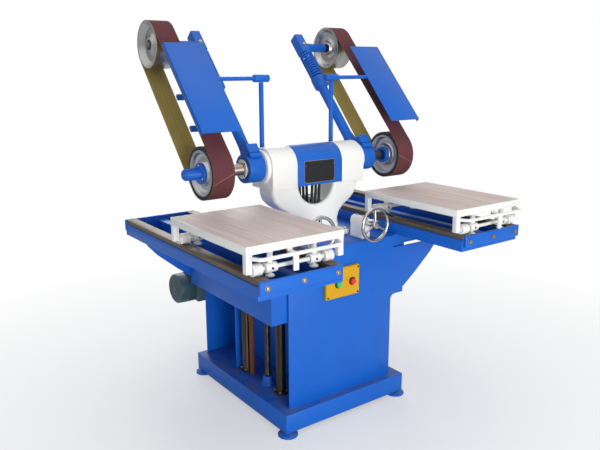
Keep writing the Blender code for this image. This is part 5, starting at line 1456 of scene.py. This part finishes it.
for sign, side in SIDES:
    node = "handwheel_bearing_" + side
    low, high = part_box(node)
    cast = eased_copy(node, node + "_cast", CREAM, 0.0)
    cast_skin(cast, node + "_cast", CREAM, 0.0015, 4)
    caps = bolted("cap_bolts", SMALL_BOLT, [((low.x + high.x) / 2, y, high.z - 0.0006)
                                            for y in (low.y + 0.020, high.y - 0.020)], UP)
    place(join(node + "_cast", cast, caps), "machine_frame", node, slot="cream_cast_paint")
print("handwheel rim radius", RIM)

# %% [markdown]
# ## Control box
# The yellow box on the front carries a green start button and a red stop button, each in a black
# collar, and is held by four socket screws. The caps are turned profiles with a shallow dish where
# the finger presses.

# %% Box, screws, collars and caps
box_low, box_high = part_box("control_plate")
case = eased_copy("control_plate", "control_plate_box", YELLOW, 0.0006)
edge = 0.009
screws = bolted("box_screws", SCREW, [(x, box_low.y + 0.0002, z)
                                      for x in (box_low.x + edge, box_high.x - edge)
                                      for z in (box_low.z + edge, box_high.z - edge)], FRONT)
collars = []
for node, paint in (("start_button", GREEN_CAP), ("stop_button", RED_CAP)):
    low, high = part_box(node)
    centre = ((low.x + high.x) / 2, box_low.y, (low.z + high.z) / 2)
    collars.append(turned("collar", [(-0.0005, 0.0141), (-0.0005, 0.0185), (0.0035, 0.0175),
                                     (0.0035, 0.0141)], centre, FRONT, BLACK, 0.0006, ring=True))
    cap = turned(node + "_cap", [(-0.009, 0), (-0.009, 0.0132), (0.011, 0.0132), (0.0135, 0.0115),
                                 (0.0138, 0.0095), (0.0128, 0.0060), (0.0124, 0.0)],
                 centre, FRONT, paint, 0.0005)
    place(cap, node, node, slot="green_button" if node == "start_button" else "red_button")
place(join("control_plate_box", case, screws, *collars), "machine_frame", "control_plate",
      slot="yellow_plate")
print("control box", round(box_high.x - box_low.x, 3), "wide")

# %% [markdown]
# ## Motor
# The drive motor hangs on the back of the cabinet. Its body is finned to lose heat, with a bell
# cover over the fan at one end and a shield at the other, and a terminal box on top. Body, bell and
# shield are turned, and one fin is copied round the body.

# %% Motor body and fins
motor_low, motor_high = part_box("drive_motor")
MOTOR_RADIUS, MOTOR_HEIGHT, FINS = 0.078, 0.452, 28
motor_axis = Vector((motor_low.x, motor_high.y - MOTOR_RADIUS, MOTOR_HEIGHT))
length = 0.295
body = turned("body", [(0.0, 0), (0.0, 0.058), (0.004, 0.070), (0.010, 0.0755), (0.055, 0.078),
                       (0.056, 0.071), (length - 0.050, 0.071), (length - 0.049, 0.0765),
                       (length - 0.022, 0.0735), (length - 0.008, 0.040), (length, 0.035),
                       (length, 0)], motor_axis, RIGHT, MOTOR_GREEN, 0.0012)
parts = [body]
fin = block("fin", (0.060, -0.0012, 0.068), (length - 0.054, 0.0012, 0.0775), MOTOR_GREEN, 0.0008)
for k in range(FINS):
    turned_by = (k + 0.5) * 360 / FINS
    if 45 < turned_by < 135:
        continue
    one = copy(fin, "fin")
    one.rotation_euler = (math.radians(turned_by), 0, 0)
    one.location = motor_axis
    grab(one)
    bpy.ops.object.transform_apply(location=True, rotation=True)
    parts.append(one)
bpy.data.objects.remove(fin)
print("fins:", len(parts) - 1)

# %% Vents in painted shade, foot, terminal box and pulley
# The vents are not cut: thin black rings on the fan end stand in for the dark inside them, painted
# shade.
for inner in (0.018, 0.034, 0.050):
    outer = inner + 0.006
    parts.append(turned("vent", [(-0.0006, inner), (-0.0006, outer), (0.0010, outer), (0.0010, inner)],
                        motor_axis, RIGHT, BLACK, 0.0, ring=True))
foot_edge = back_high.y + GAP - motor_axis.y
for name, low, high, ease, steps in (
        ("foot", (0.085, foot_edge, -0.060), (0.235, foot_edge + 0.062, 0.060), 0.004, 3),
        ("terminal_box", (0.100, -0.030, 0.030), (0.180, 0.045, 0.102), 0.004, 3),
        ("terminal_lid", (0.098, -0.032, 0.1025), (0.182, 0.047, 0.1055), 0.001, 2)):
    parts.append(block(name, motor_axis + Vector(low), motor_axis + Vector(high), MOTOR_GREEN, ease,
                       steps))
parts.append(bar("motor_shaft", motor_axis + Vector((length - 0.01, 0, 0)),
                 motor_axis + Vector((length + 0.050, 0, 0)), 0.0138, SPINDLE_STEEL))
parts.append(turned("motor_pulley", [(0.0, 0.014), (0.0, 0.045), (0.004, 0.045), (0.009, 0.036),
                                     (0.012, 0.036), (0.014, 0.044), (0.016, 0.036),
                                     (0.019, 0.036), (0.024, 0.045), (0.028, 0.045),
                                     (0.028, 0.014)],
                    motor_axis + Vector((length + 0.015, 0, 0)), RIGHT, SCREW_STEEL, 0.0006,
                    ring=True))
place(join("drive_motor_finned", *parts), "machine_frame", "drive_motor", slot="motor_paint")
print("motor at", motor_axis[:])

# %% [markdown]
# ## Levelling feet and last fastenings
# Each corner of the base stands on a round pad, and a lock nut sits on each pad's stud.

# %% Feet, clearing up and the end
FOOT_INSET, PAD_TOP = 0.0425, 0.0105
studs = bolted("foot_lock_nuts", BOLT,
               [(x, y, PAD_TOP) for x in (plinth_low.x + FOOT_INSET, plinth_high.x - FOOT_INSET)
                for y in (plinth_low.y + FOOT_INSET, plinth_high.y - FOOT_INSET)], UP)
place(studs, "machine_frame")
for pattern in (BOLT, SMALL_BOLT, SCREW):
    bpy.data.objects.remove(pattern)
